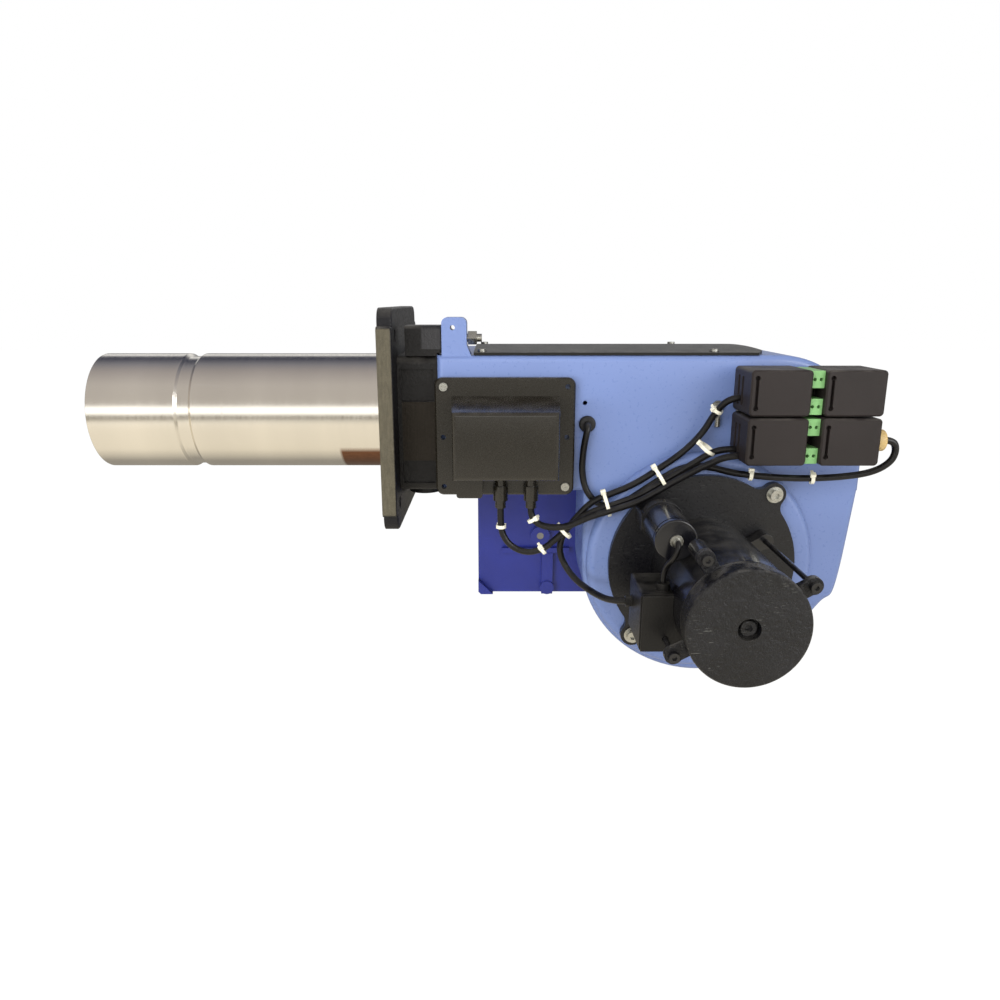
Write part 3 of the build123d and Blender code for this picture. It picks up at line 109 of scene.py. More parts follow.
def object_place(tree):
    """Each point's place on its object."""
    return add(tree, "ShaderNodeTexCoord").outputs["Object"]


def stretched(tree, place, scale, turn=(0.0, 0.0, 0.0)):
    """A place scaled along each axis, then turned."""
    return add(tree, "ShaderNodeMapping", {"Vector": place, "Rotation": turn, "Scale": scale}).outputs[0]


def vector(tree, x, y, z=0.0):
    """A vector from its three parts."""
    return add(tree, "ShaderNodeCombineXYZ", {0: x, 1: y, 2: z}).outputs[0]


def coordinate(tree, place, axis):
    """One part of a vector."""
    return add(tree, "ShaderNodeSeparateXYZ", {0: place}).outputs[axis]


def mix(tree, factor, first, second):
    """A colour between two, by a factor."""
    return add(tree, "ShaderNodeMix", {0: factor, 6: first, 7: second}, data_type="RGBA").outputs[2]


def mix_value(tree, factor, first, second):
    """A number between two, by a factor."""
    return add(tree, "ShaderNodeMix", {0: factor, 2: first, 3: second}, data_type="FLOAT").outputs[0]


def group_tree(name, kind, inputs, outputs):
    """An empty node group with its named sockets, its input node and its output node."""
    tree = bpy.data.node_groups.new(name, kind)
    for label, socket_type, *default in inputs:
        socket = tree.interface.new_socket(label, in_out="INPUT", socket_type=socket_type)
        if default:
            socket.default_value = default[0]
    for label, socket_type in outputs:
        tree.interface.new_socket(label, in_out="OUTPUT", socket_type=socket_type)
    return tree, tree.nodes.new("NodeGroupInput"), tree.nodes.new("NodeGroupOutput")


# --- effects shared by the materials ---------------------------------------------------
def grain_group():
    """Fine relief and broad patches of one surface."""
    inputs = [("Vector", VECTOR), ("Scale", FLOAT), ("Patch Scale", FLOAT)]
    outputs = [("Height", FLOAT), ("Patch", FLOAT)]
    tree, start, end = group_tree("Surface grain", "ShaderNodeTree", inputs, outputs)
    place = start.outputs["Vector"]
    fine = noise(tree, place, start.outputs["Scale"], detail=5.0, roughness=0.62)
    broad = noise(tree, place, start.outputs["Patch Scale"], detail=3.0)
    tree.links.new(fine, end.inputs["Height"])
    tree.links.new(graded(tree, broad, 0.32, 0.68), end.inputs["Patch"])
    return tree


def mask_group(name):
    """A group that turns a place, a scale and an amount into a mask."""
    inputs = [("Vector", VECTOR), ("Scale", FLOAT), ("Amount", FLOAT)]
    return group_tree(name, "ShaderNodeTree", inputs, [("Mask", FLOAT)])


def dust_group():
    """Dust that has settled on faces that look up, broken by a noise."""
    tree, start, end = mask_group("Settled dust")
    up = coordinate(tree, add(tree, "ShaderNodeNewGeometry").outputs["Normal"], "Z")
    facing = graded(tree, up, 0.25, 0.95)
    spots = noise(tree, start.outputs["Vector"], start.outputs["Scale"], detail=6.0)
    settled = product(tree, facing, graded(tree, spots, 0.38, 0.7))
    tree.links.new(product(tree, settled, start.outputs["Amount"], True), end.inputs["Mask"])
    return tree


def scratch_group():
    """Short scratches that run along X, in some places only."""
    tree, start, end = mask_group("Handling scratches")
    place = start.outputs["Vector"]
    along = stretched(tree, place, (1.0, 14.0, 9.0), turn=(0.4, 0.7, 0.3))
    lines = graded(tree, noise(tree, along, start.outputs["Scale"]), 0.66, 0.7)
    where = graded(tree, noise(tree, place, 22.0), 0.5, 0.62)
    mask = product(tree, product(tree, lines, where), start.outputs["Amount"], True)
    tree.links.new(mask, end.inputs["Mask"])
    return tree


GRAIN = grain_group()
DUST = dust_group()
SCRATCHES = scratch_group()


# --- materials -----------------------------------------------------------------------
def linear(red, green, blue):
    """Linear colour from 0 to 255 display values."""
    values = [channel / 255 for channel in (red, green, blue)]
    return [v / 12.92 if v <= 0.04045 else ((v + 0.055) / 1.055) ** 2.4 for v in values] + [1.0]


def shaded(colour, factor):
    """A colour made darker or lighter."""
    return [min(1.0, channel * factor) for channel in colour[:3]] + [1.0]


def effect(tree, group, values):
    """A shared effect placed in a material with its own values."""
    return add(tree, "ShaderNodeGroup", values, node_tree=group)


# noise scales are per metre, and the bump's depth is in metres
DUST_COLOUR = linear(150, 146, 138)
DUST_SCALE = 60.0
SCRATCH_LIGHTER = 1.9
BUMP_DEPTH = 0.002
COAT_ROUGHNESS = 0.12
MACHINED_GRAIN = 500.0
MACHINED_PATCH = 30.0
MACHINED_DARKER = 0.45
MACHINED_LIGHTER = 1.5

# where second finishes lie, in millimetres: the tube's heat tint, the neck's milled pad and its bare lug
TINT_X, TINT_Y, TINT_Z = (-52, 20), (-70, 0), (-64, -36)
PAD_X, PAD_Z = (19.2, 54.5), (-42, 19)
LUG_LEFT, LUG_BOTTOM = 41, 72


def finish(name, colour, rough, metal=0.0, grain=900.0, relief=0.04, drift=0.1, patch=14.0, dust=0.12,
           scratch=0.15, stretch=(1.0, 1.0, 1.0), coat=0.0, spread=0.12, mirror=0.5, bare=None, marks=40.0):
    """A surface with grain, patches, scratches and dust.

    grain, patch and marks are the noise scales of the grain, the patches and the scratches. relief is
    the strength of the grain's bump, drift how far the patches leave the colour, and spread how far the
    roughness leaves its middle. dust, scratch and coat are amounts, stretch squeezes the grain along
    each axis, mirror is the specular level and bare the scratches' own colour.
    """
    material = bpy.data.materials.new(name)
    material.use_nodes = True
    tree = material.node_tree
    shader = tree.nodes["Principled BSDF"]
    place = object_place(tree)
    along = stretched(tree, place, stretch)
    surface = effect(tree, GRAIN, {"Vector": along, "Scale": grain, "Patch Scale": patch})
    height = surface.outputs["Height"]
    tint = mix(tree, surface.outputs["Patch"], shaded(colour, 1 - drift), shaded(colour, 1 + drift))
    worn = effect(tree, SCRATCHES, {"Vector": place, "Scale": marks, "Amount": scratch}).outputs["Mask"]
    tint = mix(tree, worn, tint, bare or shaded(colour, SCRATCH_LIGHTER))
    settled = effect(tree, DUST, {"Vector": place, "Scale": DUST_SCALE, "Amount": dust}).outputs["Mask"]
    tree.links.new(mix(tree, settled, tint, DUST_COLOUR), shader.inputs["Base Color"])
    tree.links.new(graded(tree, height, 0.3, 0.7, rough - spread, rough + spread), shader.inputs["Roughness"])
    bump = add(tree, "ShaderNodeBump", {"Height": height, "Strength": relief, "Distance": BUMP_DEPTH})
    tree.links.new(bump.outputs["Normal"], shader.inputs["Normal"])
    shader.inputs["Metallic"].default_value = metal
    shader.inputs["Coat Weight"].default_value = coat
    shader.inputs["Coat Roughness"].default_value = COAT_ROUGHNESS
    shader.inputs["Specular IOR Level"].default_value = mirror
    return material


def region(tree, axis, low, high, soft=0.4):
    """A mask that is 1 between two places along an axis and fades at both, all in millimetres."""
    place = coordinate(tree, object_place(tree), axis)
    rise = graded(tree, place, (low - soft) * MM, (low + soft) * MM)
    fall = graded(tree, place, (high + soft) * MM, (high - soft) * MM)
    return product(tree, rise, fall)


def overlay(material, masks, colour, rough, metal, stretch):
    """A machined or heated finish laid over a material where all the masks hold.

    stretch squeezes its marks along each axis. Outside the masks the material stays as it is.
    """
    tree = material.node_tree
    shader = tree.nodes["Principled BSDF"]
    mask = masks[0]
    for other in masks[1:]:
        mask = product(tree, mask, other)
    along = stretched(tree, object_place(tree), stretch)
    marks = effect(tree, GRAIN, {"Vector": along, "Scale": MACHINED_GRAIN, "Patch Scale": MACHINED_PATCH})
    dark, light = shaded(colour, MACHINED_DARKER), shaded(colour, MACHINED_LIGHTER)
    tint = mix(tree, marks.outputs["Height"], dark, light)
    before = shader.inputs["Base Color"].links[0].from_socket
    tree.links.new(mix(tree, mask, before, tint), shader.inputs["Base Color"])
    before = shader.inputs["Roughness"].links[0].from_socket
    tree.links.new(mix_value(tree, mask, before, rough), shader.inputs["Roughness"])
    socket = shader.inputs["Metallic"]
    before = socket.links[0].from_socket if socket.links else socket.default_value
    if before != metal:
        tree.links.new(mix_value(tree, mask, before, metal), socket)
    return material


def corners(node):
    """Lowest and highest corner of a node, in millimetres."""
    low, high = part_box(node)
    return low / MM, high / MM


def tube_steel():
    """Bright spun stainless with rings round the tube, and heat tint low on its near side by the flange."""
    steel = finish("spun stainless", linear(238, 233, 224), rough=0.2, metal=1.0, grain=700.0, relief=0.05,
                   drift=0.07, patch=9.0, dust=0.04, scratch=0.12, stretch=(1.0, 0.03, 0.03), spread=0.05)
    tree = steel.node_tree
    tinted = [
        region(tree, "X", *TINT_X, soft=1.5),
        region(tree, "Z", *TINT_Z, soft=3.0),
        region(tree, "Y", *TINT_Y),
    ]
    return overlay(steel, tinted, linear(132, 92, 68), rough=0.34, metal=1.0, stretch=(0.3, 2.0, 2.0))


def neck_black():
    """Black cast neck with a bare milled pad on its near side and on the right half of its lug."""
    black = finish("black cast neck", linear(20, 19, 19), rough=0.4, grain=420.0, relief=0.5, drift=0.3,
                   patch=18.0, dust=0.25, scratch=0.25, mirror=0.3)
    tree = black.node_tree
    low, high = corners("neck_casting")
    pad = [
        region(tree, "Y", low.y - 1.2, low.y + 0.5),
        region(tree, "Z", *PAD_Z),
        region(tree, "X", *PAD_X),
    ]
    overlay(black, pad, linear(46, 42, 37), rough=0.34, metal=0.7, stretch=(3.0, 1.0, 0.06))
    lug = [
        region(tree, "X", LUG_LEFT, high.x + 0.5, soft=1.0),
        region(tree, "Z", LUG_BOTTOM, high.z + 1.2),
    ]
    return overlay(black, lug, linear(70, 70, 72), rough=0.36, metal=0.8, stretch=(3.0, 1.0, 0.1))


def flange_black():
    """Black cast plate whose near edge is scraped to an olive grey."""
    black = finish("black cast plate", linear(18, 18, 21), rough=0.38, grain=380.0, relief=0.45, drift=0.3,
                   patch=16.0, dust=0.25, scratch=0.3, mirror=0.3)
    near = corners("mounting_flange")[0].y
    edge = [region(black.node_tree, "Y", near - 1.0, near + 0.6)]
    return overlay(black, edge, linear(80, 75, 61), rough=0.5, metal=0.0, stretch=(1.0, 1.0, 0.2))


FINISHES = {
    "blue": finish("blue enamel", linear(105, 124, 172), rough=0.34, grain=260.0, relief=0.03,
                   drift=0.05, patch=7.0, dust=0.05, scratch=0.03, coat=0.2),
    # the intake box is the same blue enamel made darker: painted shade for the shadow it lies in under the
    # overhanging duct
    "blue with painted shade": finish("blue enamel with painted shade", linear(32, 42, 122), rough=0.4, grain=300.0, relief=0.1,
                        drift=0.16, patch=11.0, dust=0.1),
    "tube": tube_steel(),
    "neck": neck_black(),
    "flange": flange_black(),
    "plate": finish("motor plate black", linear(17, 17, 20), rough=0.34, grain=520.0, relief=0.18,
                    drift=0.22, patch=12.0, dust=0.2, scratch=0.4, mirror=0.45, bare=linear(70, 70, 70),
                    marks=90.0),
    "cap": finish("rough cast black", linear(17, 17, 20), rough=0.32, grain=240.0, relief=1.0,
                  drift=0.35, patch=26.0, dust=0.35, scratch=0.5, mirror=0.4,
                  bare=linear(110, 110, 104), marks=130.0),
    "motor": finish("motor black", linear(12, 12, 16), rough=0.24, grain=600.0, relief=0.015, drift=0.2,
                    scratch=0.2, coat=0.4, spread=0.03),
    "cover": finish("black cover", linear(22, 21, 20), rough=0.38, grain=700.0, relief=0.08, drift=0.15,
                    patch=10.0, dust=0.15, scratch=0.2, mirror=0.3),
    "moulding": finish("olive black moulding", linear(27, 24, 18), rough=0.26, relief=0.03, drift=0.12,
                       patch=20.0, dust=0.1, scratch=0.1, coat=0.4, spread=0.05),
    "plug": finish("brown black plastic", linear(37, 32, 31), rough=0.5, grain=1400.0, relief=0.1,
                   patch=18.0, dust=0.2, scratch=0.1, mirror=0.3),
    "green": finish("pale green plastic", linear(116, 166, 103), rough=0.42, grain=1200.0, relief=0.05,
                    patch=30.0, dust=0.05, scratch=0.05),
    "tan": finish("tan plastic", linear(190, 163, 108), rough=0.45, grain=1000.0, relief=0.05,
                  drift=0.12, patch=30.0, dust=0.1, scratch=0.1),
    "zinc": finish("zinc plate", linear(186, 186, 180), rough=0.3, metal=1.0, relief=0.08, drift=0.12,
                   patch=60.0, dust=0.05, scratch=0.2),
    "steel": finish("plain steel", linear(150, 150, 152), rough=0.35, metal=1.0, grain=800.0,
                    relief=0.1, drift=0.12, patch=40.0, dust=0.05, scratch=0.2),
    "brass": finish("turned brass", linear(196, 160, 92), rough=0.3, metal=1.0, relief=0.06, patch=40.0,
                    dust=0.05, scratch=0.1),
    "ceramic": finish("white ceramic", linear(226, 220, 206), rough=0.3, relief=0.03, drift=0.05,
                      patch=30.0, dust=0.05, scratch=0.0),
    "aluminium": finish("milled aluminium", linear(190, 190, 192), rough=0.34, metal=1.0, relief=0.06,
                        drift=0.08, patch=30.0, dust=0.05),
    "copper": finish("enamelled wire", linear(150, 84, 44), rough=0.35, metal=0.6, grain=1600.0,
                     relief=0.3, drift=0.15, patch=30.0, dust=0.0, scratch=0.0),
    "rubber": finish("black rubber", linear(26, 26, 28), rough=0.55, grain=1200.0, relief=0.06,
                     drift=0.15, patch=30.0, dust=0.15, scratch=0.0),
    "sheath": finish("cable sheath", linear(13, 12, 13), rough=0.32, grain=1500.0, relief=0.06,
                     drift=0.15, patch=40.0, dust=0.1, scratch=0.05, mirror=0.4),
    "tie": finish("off-white nylon", linear(228, 224, 204), rough=0.4, grain=1500.0, relief=0.05,
                  drift=0.06, patch=60.0, dust=0.05, scratch=0.0),
}

# the nodes shown by a worked copy: its finish, and the width of its broken edges in millimetres
DRESS = {
    "blast_tube": ("tube", 0.7), "mounting_flange": ("flange", 0.6), "neck_casting": ("neck", 0.5),
    "main_housing": ("blue", 0.0), "top_cover": ("cover", 0.4), "intake_box": ("blue with painted shade", 0.6),
    "motor_plate": ("plate", 0.5), "motor_front_shield": ("motor", 0.4), "motor_shell": ("motor", 0.3),
    "motor_end_shield": ("cap", 0.4), "motor_end_cap": ("cap", 0.3), "tie_rods": ("motor", 0.15),
    "end_cap_screw": ("cap", 0.3), "capacitor_can": ("motor", 0.0), "capacitor_gland": ("zinc", 0.2),
    "capacitor_clip": ("motor", 0.2), "terminal_box": ("cover", 0.5), "terminal_lid": ("cover", 0.3),
    "ignition_transformer": ("moulding", 0.4), "plug_housings": ("plug", 0.4), "plug_inserts": ("green", 0.3),
    "plug_bracket": ("zinc", 0.3), "plug_gland": ("tan", 0.3), "cable_grommet": ("rubber", 0.3),
    "earth_lug": ("zinc", 0.2), "plate_washers": ("zinc", 0.15), "plate_screws": ("zinc", 0.3),
    "panel_screws": ("zinc", 0.2), "adjusting_nut": ("zinc", 0.3), "adjusting_rod": ("zinc", 0.0),
    "air_pressure_switch": ("cover", 0.4), "damper_servo": ("cover", 0.4), "servo_bracket": ("zinc", 0.3),
}

# the nodes whose own mesh shows, by finish
PLAIN = {
    "steel": ["gas_pipe", "diffuser_disc", "electrode_clamp", "inlet_ring", "fan_impeller", "damper_spindle",
              "motor_shaft", "rotor_core", "bearing_inner_rings", "bearing_outer_rings", "stator_core"],
    "zinc": ["joint_screws", "adjusting_arm", "servo_coupling", "hub_screw"],
    "neck": ["gas_manifold"],
    "brass": ["gas_nozzle"],
    "ceramic": ["ignition_electrodes", "flame_electrode"],
    "aluminium": ["damper_flap", "fan_hub"],
    "copper": ["stator_windings"],
}


# --- dressed solids ------------------------------------------------------------------
# points this near are one point, faces this flat are one face, and gentler edges than this are smooth
MERGE_WITHIN = 0.01 * MM
FLAT_LIMIT = math.radians(0.3)
SMOOTH_LIMIT = math.radians(32)


def paint(obj, key):
    """One finish on a whole object."""
    obj.data.materials.clear()
    obj.data.materials.append(FINISHES[key])


def scene_object(name, data):
    """A linked object for a mesh, curve, lamp or camera."""
    obj = bpy.data.objects.new(name, data)
    bpy.context.scene.collection.objects.link(obj)
    return obj


def round_edges(piece, name, width):
    """A two-step bevel, its width in metres."""
    rounding = piece.modifiers.new(name, "BEVEL")
    rounding.width = width
    rounding.segments = 2
    return rounding


def dressed(node, key, bevel):
    """A merged, smoothed and edge-broken copy that stands for a solid node."""
    copy = frame["nodes"][node].data.copy()
    work = bmesh.new()
    work.from_mesh(copy)
    bmesh.ops.remove_doubles(work, verts=work.verts, dist=MERGE_WITHIN)
    bmesh.ops.dissolve_limit(work, angle_limit=FLAT_LIMIT, verts=work.verts, edges=work.edges)
    for face in work.faces:
        face.smooth = True
    for edge in work.edges:
        edge.smooth = len(edge.link_faces) == 2 and edge.calc_face_angle(0) < SMOOTH_LIMIT
    work.to_mesh(copy)
    work.free()
    piece = scene_object(f"{node}_surface", copy)
    if bevel:
        rounding = round_edges(piece, "broken edges", bevel * MM)
        rounding.limit_method = "ANGLE"
        rounding.angle_limit = SMOOTH_LIMIT
        rounding.harden_normals = True
    paint(piece, key)
    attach(piece, body_of[node])
    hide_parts(node)


for node, (key, bevel) in DRESS.items():
    dressed(node, key, bevel)
for key, names in PLAIN.items():
    for node in names:
        paint(frame["nodes"][node], key)


# --- leads ---------------------------------------------------------------------------
LEAD_R = 3.4
CAPACITOR_LEAD_R = 2.6

# radius in millimetres, real length in metres and route in millimetres
LEADS = {
    # terminal box to the bundle and up to the upper left plug
    "motor_lead": (LEAD_R, 0.352, [
        (242, -159, -166), (234, -159, -166), (223, -148, -168), (211, -126, -168), (198, -108, -163),
        (187, -99.5, -150), (181, -99.5, -134), (184, -99.5, -117), (197, -99.5, -99),
        (214, -99.5, -80), (235, -99.5, -72), (258, -99.5, -62), (280, -99.5, -47),
        (304, -99.5, -30), (323, -99.5, -10), (332, -105, 11), (341, -118, 27), (351.5, -118, 28)]),
    # left transformer spout, a hanging loop, then the bundle to the lower left plug
    "spout_lead_left": (LEAD_R, 0.296, [
        (120, -104, -86.2), (120, -104, -97), (121, -105, -113), (130, -106, -127),
        (147, -107, -134), (164, -107, -130), (178, -107, -118), (192, -107, -104),
        (209, -107, -91), (236, -107, -82), (262, -107, -72), (287, -107, -56),
        (311, -107, -41), (329, -110, -28), (341, -116, -23), (351.8, -116, -23)]),
    # grommet down to the bundle and along under the plugs to the gland
    "ignition_lead": (LEAD_R, 0.418, [
        (208.3, -89.5, -2.8), (208.3, -96, -3.6), (206, -97, -14), (204, -93, -32), (203.5, -91, -52),
        (208, -91, -72), (222, -92, -87), (241, -99.5, -86), (260, -99.5, -73),
        (282, -99.5, -57.5), (307, -99.5, -43), (332, -101, -44), (356, -106, -50),
        (390, -109, -53), (424, -112, -54), (460, -117, -51), (486, -124, -45),
        (501, -128, -34), (505, -128, -22), (501, -128, -12), (491.2, -128, -12)]),
    # right transformer spout over to the bundle and the lower left plug
    "spout_lead_right": (LEAD_R, 0.231, [
        (151, -104, -86.2), (151, -104, -95), (159, -106, -104), (174, -110, -106), (190, -114, -103),
        (209, -115, -93), (236, -115, -85), (262, -115, -76), (287, -115, -60),
        (311, -116, -46), (328, -121, -36), (340, -125, -29), (351.5, -125, -28)]),
    # capacitor gland down to the terminal box
    "capacitor_lead": (CAPACITOR_LEAD_R, 0.051, [
        (279, -207.2, -91.5), (279, -212.2, -91.5), (276, -214.2, -102.5), (270, -196, -118.8),
        (270, -196, -132.8)]),
}


def lead(name, radius, route):
    """A smooth sheathed lead along its route."""
    line = bpy.data.curves.new(f"{name}_sheath", "CURVE")
    line.dimensions = "3D"
    line.resolution_u = 8
    line.bevel_depth = radius * MM
    line.bevel_resolution = 5
    line.use_fill_caps = True
    spline = line.splines.new("NURBS")
    spline.points.add(len(route) - 1)
    for point, place in zip(spline.points, route):
        point.co = (*[value * MM for value in place], 1.0)
    spline.order_u = 3
    spline.use_endpoint_u = True
    piece = scene_object(f"{name}_sheath", line)
    line.materials.append(FINISHES["sheath"])
    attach(piece, "burner")
    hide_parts(name)


for name, (radius, length, route) in LEADS.items():
    lead(name, radius, route)


# --- cable ties ------------------------------------------------------------------------
TIE_WIDTH = 3.6 * MM
TIE_THICK = 1.2 * MM
TIE_HEAD = 5.2 * MM
TIE_TAIL = 6.0 * MM
HEAD_LENGTH_SHARE = 0.8
TAIL_WIDTH_SHARE = 0.8
TAIL_REACH_SHARE = 0.7
LOOP_POINTS = 28
TIE_EDGE = 0.3 * MM

# centre of the bundle, its direction, half width across the view, half depth, and the turn of a tie's
# head round a single lead in degrees
TIES = [
    ((120.5, -104.6, -106), (0, 0, 1), 4.6, 4.6, 200),
    ((163.5, -107, -130.5), (1, 0, 0.7), 4.6, 4.6, 40),
    ((152.5, -104.5, -99), (0.5, -0.1, -0.9), 4.6, 4.6, 20),
    ((186, -104, -111.5), (1, 0, 1), 9.5, 8.5, 0),
    ((228, -105, -82), (1, 0, 0.3), 11.5, 13.0, 0),
    ((281, -107, -54), (1, 0, 0.62), 10.5, 13.0, 0),
    ((326, -108, -24), (0.7, -0.2, 1), 12.5, 9.0, 0),
    ((334.5, -107, 14), (0.5, -0.5, 1), 4.7, 4.7, 60),
    ((372, -107.4, -51.6), (1, -0.1, -0.1), 4.7, 4.7, 0),
    ((432, -112.8, -54), (1, -0.1, 0), 4.7, 4.7, 30),
]


def moved(tree, geometry, place):
    """A geometry moved to a place."""
    return add(tree, "GeometryNodeTransform", {"Geometry": geometry, "Translation": place}).outputs[0]


def tie_tree():
    """A flat nylon band round a bundle, with its head and its cut tail."""
    inputs = [("Half Width", FLOAT), ("Half Height", FLOAT), ("Band Width", FLOAT, TIE_WIDTH),
              ("Band Thickness", FLOAT, TIE_THICK), ("Head", FLOAT, TIE_HEAD), ("Tail", FLOAT, TIE_TAIL),
              ("Material", MATERIAL)]
    tree, start, end = group_tree("Cable tie", "GeometryNodeTree", inputs, [("Geometry", GEOMETRY)])
    get = start.outputs
    circle = {"Resolution": LOOP_POINTS, "Radius": 1.0}
    loop = add(tree, "GeometryNodeCurvePrimitiveCircle", circle).outputs["Curve"]
    size = vector(tree, get["Half Width"], get["Half Height"], 1.0)
    loop = add(tree, "GeometryNodeTransform", {"Geometry": loop, "Scale": size}).outputs[0]
    flat = {"Width": get["Band Thickness"], "Height": get["Band Width"]}
    section = add(tree, "GeometryNodeCurvePrimitiveQuadrilateral", flat).outputs[0]
    swept = {"Curve": loop, "Profile Curve": section, "Fill Caps": True}
    band = add(tree, "GeometryNodeCurveToMesh", swept).outputs[0]
    head_size = vector(tree, product(tree, get["Head"], HEAD_LENGTH_SHARE), get["Head"], get["Head"])
    head = add(tree, "GeometryNodeMeshCube", {"Size": head_size}).outputs["Mesh"]
    head = moved(tree, head, vector(tree, 0.0, get["Half Height"]))
    tail_width = product(tree, get["Band Width"], TAIL_WIDTH_SHARE)
    tail_size = vector(tree, get["Tail"], get["Band Thickness"], tail_width)
    tail = add(tree, "GeometryNodeMeshCube", {"Size": tail_size}).outputs["Mesh"]
    tail_reach = product(tree, get["Tail"], TAIL_REACH_SHARE)
    tail = moved(tree, tail, vector(tree, tail_reach, get["Half Height"]))
    joined = tree.nodes.new("GeometryNodeJoinGeometry")
    for part in (band, head, tail):
        tree.links.new(part, joined.inputs[0])
    whole = add(tree, "GeometryNodeRealizeInstances", {0: joined.outputs[0]}).outputs[0]
    coloured = add(tree, "GeometryNodeSetMaterial", {"Geometry": whole, "Material": get["Material"]})
    tree.links.new(coloured.outputs[0], end.inputs[0])
    return tree


def made_by(tree, name, values):
    """The plain mesh that a geometry tree makes with the given inputs."""
    holder = scene_object("maker", bpy.data.meshes.new("maker"))
    modifier = holder.modifiers.new("make", "NODES")
    modifier.node_group = tree
    for item in tree.interface.items_tree:
        if item.item_type == "SOCKET" and item.in_out == "INPUT" and item.name in values:
            modifier[item.identifier] = values[item.name]
    bpy.context.view_layer.update()
    result = bpy.data.meshes.new_from_object(holder.evaluated_get(bpy.context.evaluated_depsgraph_get()))
    result.name = name
    bpy.data.objects.remove(holder)
    return result


def cable_ties():
    """All ties in one piece, each set square on its bundle."""
    tree = tie_tree()
    joined = bmesh.new()
    for index, (place, direction, wide, deep, turn) in enumerate(TIES):
        values = {"Half Width": wide * MM, "Half Height": deep * MM, "Material": FINISHES["tie"]}
        mesh = made_by(tree, f"tie_{index}", values)
        facing = Vector(direction).normalized().to_track_quat("Z", "Y").to_matrix().to_4x4()
        head_turn = Matrix.Rotation(math.radians(turn), 4, "Z")
        mesh.transform(Matrix.Translation(Vector(place) * MM) @ facing @ head_turn)
        joined.from_mesh(mesh)
        bpy.data.meshes.remove(mesh)
    mesh = bpy.data.meshes.new("cable_ties")
    joined.to_mesh(mesh)
    joined.free()
    piece = scene_object("cable_ties", mesh)
    paint(piece, "tie")
    round_edges(piece, "moulded edges", TIE_EDGE)
    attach(piece, "burner")


cable_ties()


# --- studio ----------------------------------------------------------------------------
# lengths here are in metres and angles in degrees
WHITE = (1.0, 1.0, 1.0, 1.0)
FLOOR_SIZE = 12.0
FLOOR_MIDDLE_X = 0.1
FLOOR_DROP = 0.03
FLOOR_PAPER = (0.82, 0.82, 0.82, 1.0)
FLOOR_GLOW = 1.06
GLOW_SHARE = 0.94
MIRRORED_SHARE = 0.85
MIRRORED_FLOOR = (0.86, 0.78, 0.62, 1.0)
MIRRORED_NEAR = 1.05
MIRRORED_FAR = 0.3

ROOM_STRENGTH = 0.85
# colour of the room by the share of a turn round the X axis: the back horizon is at 0 and 1, straight
# down at 0.25, the front horizon at 0.5 and overhead at 0.75
ROOM = [
    (0.0, (0.3, 0.3, 0.3)), (0.175, (0.3, 0.26, 0.18)), (0.3, (0.74, 0.7, 0.53)), (0.4, (0.76, 0.68, 0.55)),
    (0.49, (0.8, 0.75, 0.65)), (0.506, (2.3, 2.26, 2.16)), (0.528, (2.3, 2.28, 2.2)),
    (0.545, (0.6, 0.56, 0.52)), (0.66, (0.62, 0.58, 0.55)), (0.76, (0.42, 0.39, 0.39)),
    (0.81, (0.26, 0.26, 0.3)), (0.86, (0.08, 0.085, 0.12)), (0.9, (0.06, 0.065, 0.1)),
    (0.92, (1.1, 1.1, 1.1)), (0.95, (0.9, 0.9, 0.9)), (0.965, (0.3, 0.3, 0.3)), (1.0, (0.4, 0.4, 0.42)),
]

# name, place, aim, width and height, power, and whether metal mirrors it
LAMPS = [
    ("key", (-0.45, -1.5, 0.75), (0.2, 0.0, -0.08), (1.1, 0.9), 15.5, False),
    ("fill", (1.35, -1.2, 0.55), (0.25, 0.0, -0.1), (0.9, 0.9), 12.0, True),
    ("low left", (-0.75, -1.25, -0.02), (0.25, -0.05, -0.2), (0.7, 0.3), 8.0, False),
    ("top", (0.15, 0.35, 1.4), (0.15, 0.0, 0.0), (1.4, 0.7), 10.0, False),
]

CAMERA_PLACE = (0.1194, -0.870, 0.120)
CAMERA_DIP = 14.5
CAMERA_LENS = 27.9
SENSOR_WIDTH = 36.0


def seen_directly(tree, rays):
    """1 for rays from the camera or through glass."""
    return calculate(tree, "ADD", rays.outputs["Is Camera Ray"], rays.outputs["Is Transmission Ray"], True)


def shine(tree, kind, colour, strength):
    """An emission or background of one colour."""
    return add(tree, kind, {"Color": colour, "Strength": strength}).outputs[0]


def blend(tree, share, first, second):
    """One shader over another by a share."""
    return add(tree, "ShaderNodeMixShader", {0: share, 1: first, 2: second}).outputs[0]


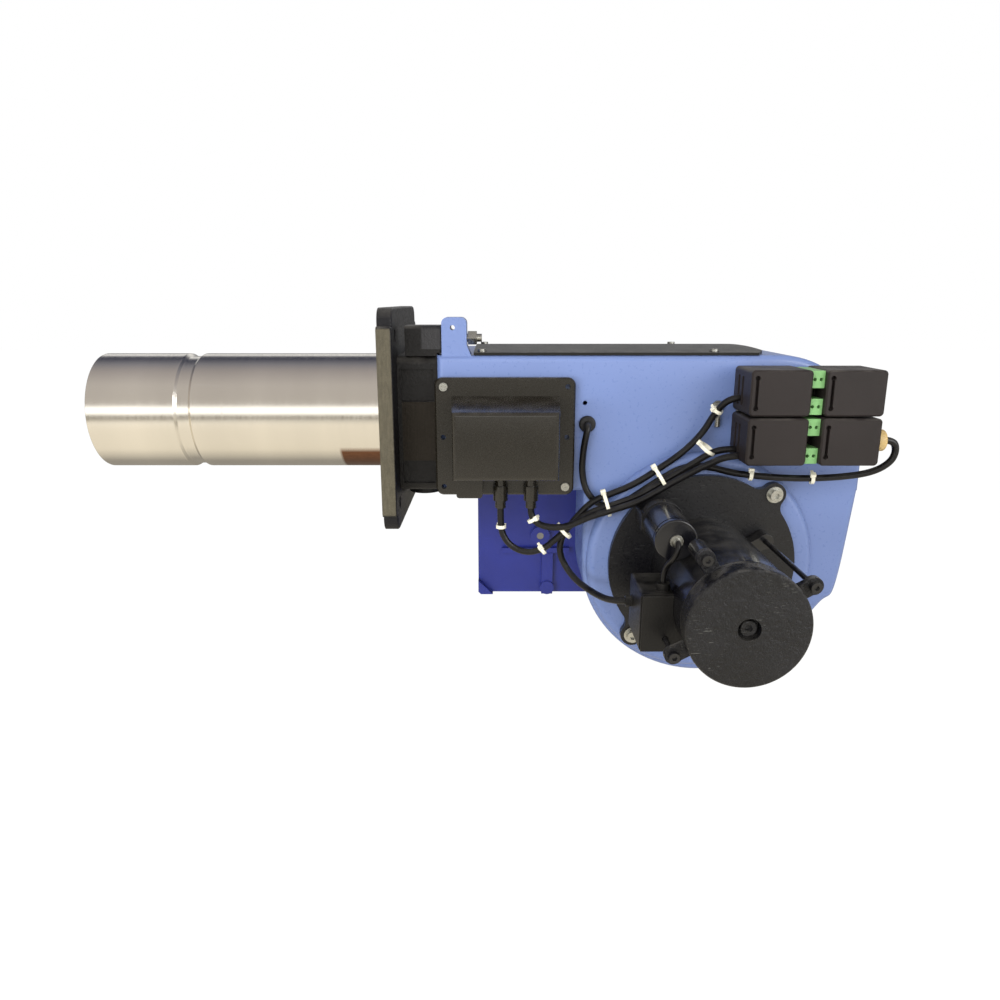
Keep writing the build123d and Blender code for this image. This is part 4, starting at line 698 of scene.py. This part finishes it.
def floor():
    """Pale floor that keeps the shadow and looks white to the camera.

    Metal mirrors it warm under and before the burner, and dimmer behind it and far in front.
    """
    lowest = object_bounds()[0].z
    bpy.ops.mesh.primitive_plane_add(size=FLOOR_SIZE, location=(FLOOR_MIDDLE_X, 0.0, lowest - FLOOR_DROP))
    plane = bpy.context.object
    plane.name = "floor"
    material = bpy.data.materials.new("pale floor")
    material.use_nodes = True
    tree = material.node_tree
    tree.nodes.clear()
    rays = add(tree, "ShaderNodeLightPath")
    depth = coordinate(tree, object_place(tree), "Y")
    behind = graded(tree, depth, -0.1, 0.1, MIRRORED_NEAR, MIRRORED_FAR)
    ahead = graded(tree, depth, -1.6, -0.8, MIRRORED_FAR, 1.0)
    warm = shine(tree, "ShaderNodeEmission", MIRRORED_FLOOR, product(tree, behind, ahead))
    paper = add(tree, "ShaderNodeBsdfDiffuse", {"Color": FLOOR_PAPER}).outputs[0]
    lit = blend(tree, product(tree, rays.outputs["Is Glossy Ray"], MIRRORED_SHARE), paper, warm)
    glow = shine(tree, "ShaderNodeEmission", WHITE, FLOOR_GLOW)
    shown = blend(tree, product(tree, seen_directly(tree, rays), GLOW_SHARE), lit, glow)
    out = tree.nodes.new("ShaderNodeOutputMaterial")
    tree.links.new(shown, out.inputs["Surface"])
    plane.data.materials.append(material)
    plane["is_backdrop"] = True


def surroundings():
    """Room light from a soft gradient; the camera sees plain white."""
    world = bpy.data.worlds.new("studio")
    bpy.context.scene.world = world
    world.use_nodes = True
    tree = world.node_tree
    tree.nodes.clear()
    direction = add(tree, "ShaderNodeTexCoord").outputs["Generated"]
    toward_front = product(tree, coordinate(tree, direction, "Y"), -1.0)
    angle = calculate(tree, "ARCTAN2", coordinate(tree, direction, "Z"), toward_front)
    share = calculate(tree, "ADD", product(tree, angle, 0.5 / math.pi), 0.5)
    ramp = add(tree, "ShaderNodeValToRGB", {0: share})
    band = ramp.color_ramp.elements
    for element, (position, colour) in zip(band, (ROOM[0], ROOM[-1])):
        element.position = position
        element.color = (*colour, 1.0)
    for position, colour in ROOM[1:-1]:
        band.new(position).color = (*colour, 1.0)
    room = shine(tree, "ShaderNodeBackground", ramp.outputs["Color"], ROOM_STRENGTH)
    white = shine(tree, "ShaderNodeBackground", WHITE, 1.0)
    shown = blend(tree, seen_directly(tree, add(tree, "ShaderNodeLightPath")), room, white)
    out = tree.nodes.new("ShaderNodeOutputWorld")
    tree.links.new(shown, out.inputs["Surface"])


def lamp(name, place, aim, size, power, mirrored):
    """A soft rectangular lamp."""
    light = bpy.data.lights.new(name, "AREA")
    light.shape = "RECTANGLE"
    light.size, light.size_y = size
    light.energy = power
    obj = scene_object(name, light)
    obj.location = place
    obj.rotation_euler = (Vector(aim) - Vector(place)).to_track_quat("-Z", "Y").to_euler()
    obj.visible_glossy = mirrored


def camera():
    """Camera in front of the motor side, looking slightly down."""
    data = bpy.data.cameras.new("camera")
    data.sensor_width = SENSOR_WIDTH
    data.lens = CAMERA_LENS
    obj = scene_object("camera", data)
    obj.location = CAMERA_PLACE
    obj.rotation_euler = (math.radians(90 - CAMERA_DIP), 0.0, 0.0)
    bpy.context.scene.camera = obj


bpy.context.scene.view_settings.view_transform = "Standard"
floor()
surroundings()
for row in LAMPS:
    lamp(*row)
camera()
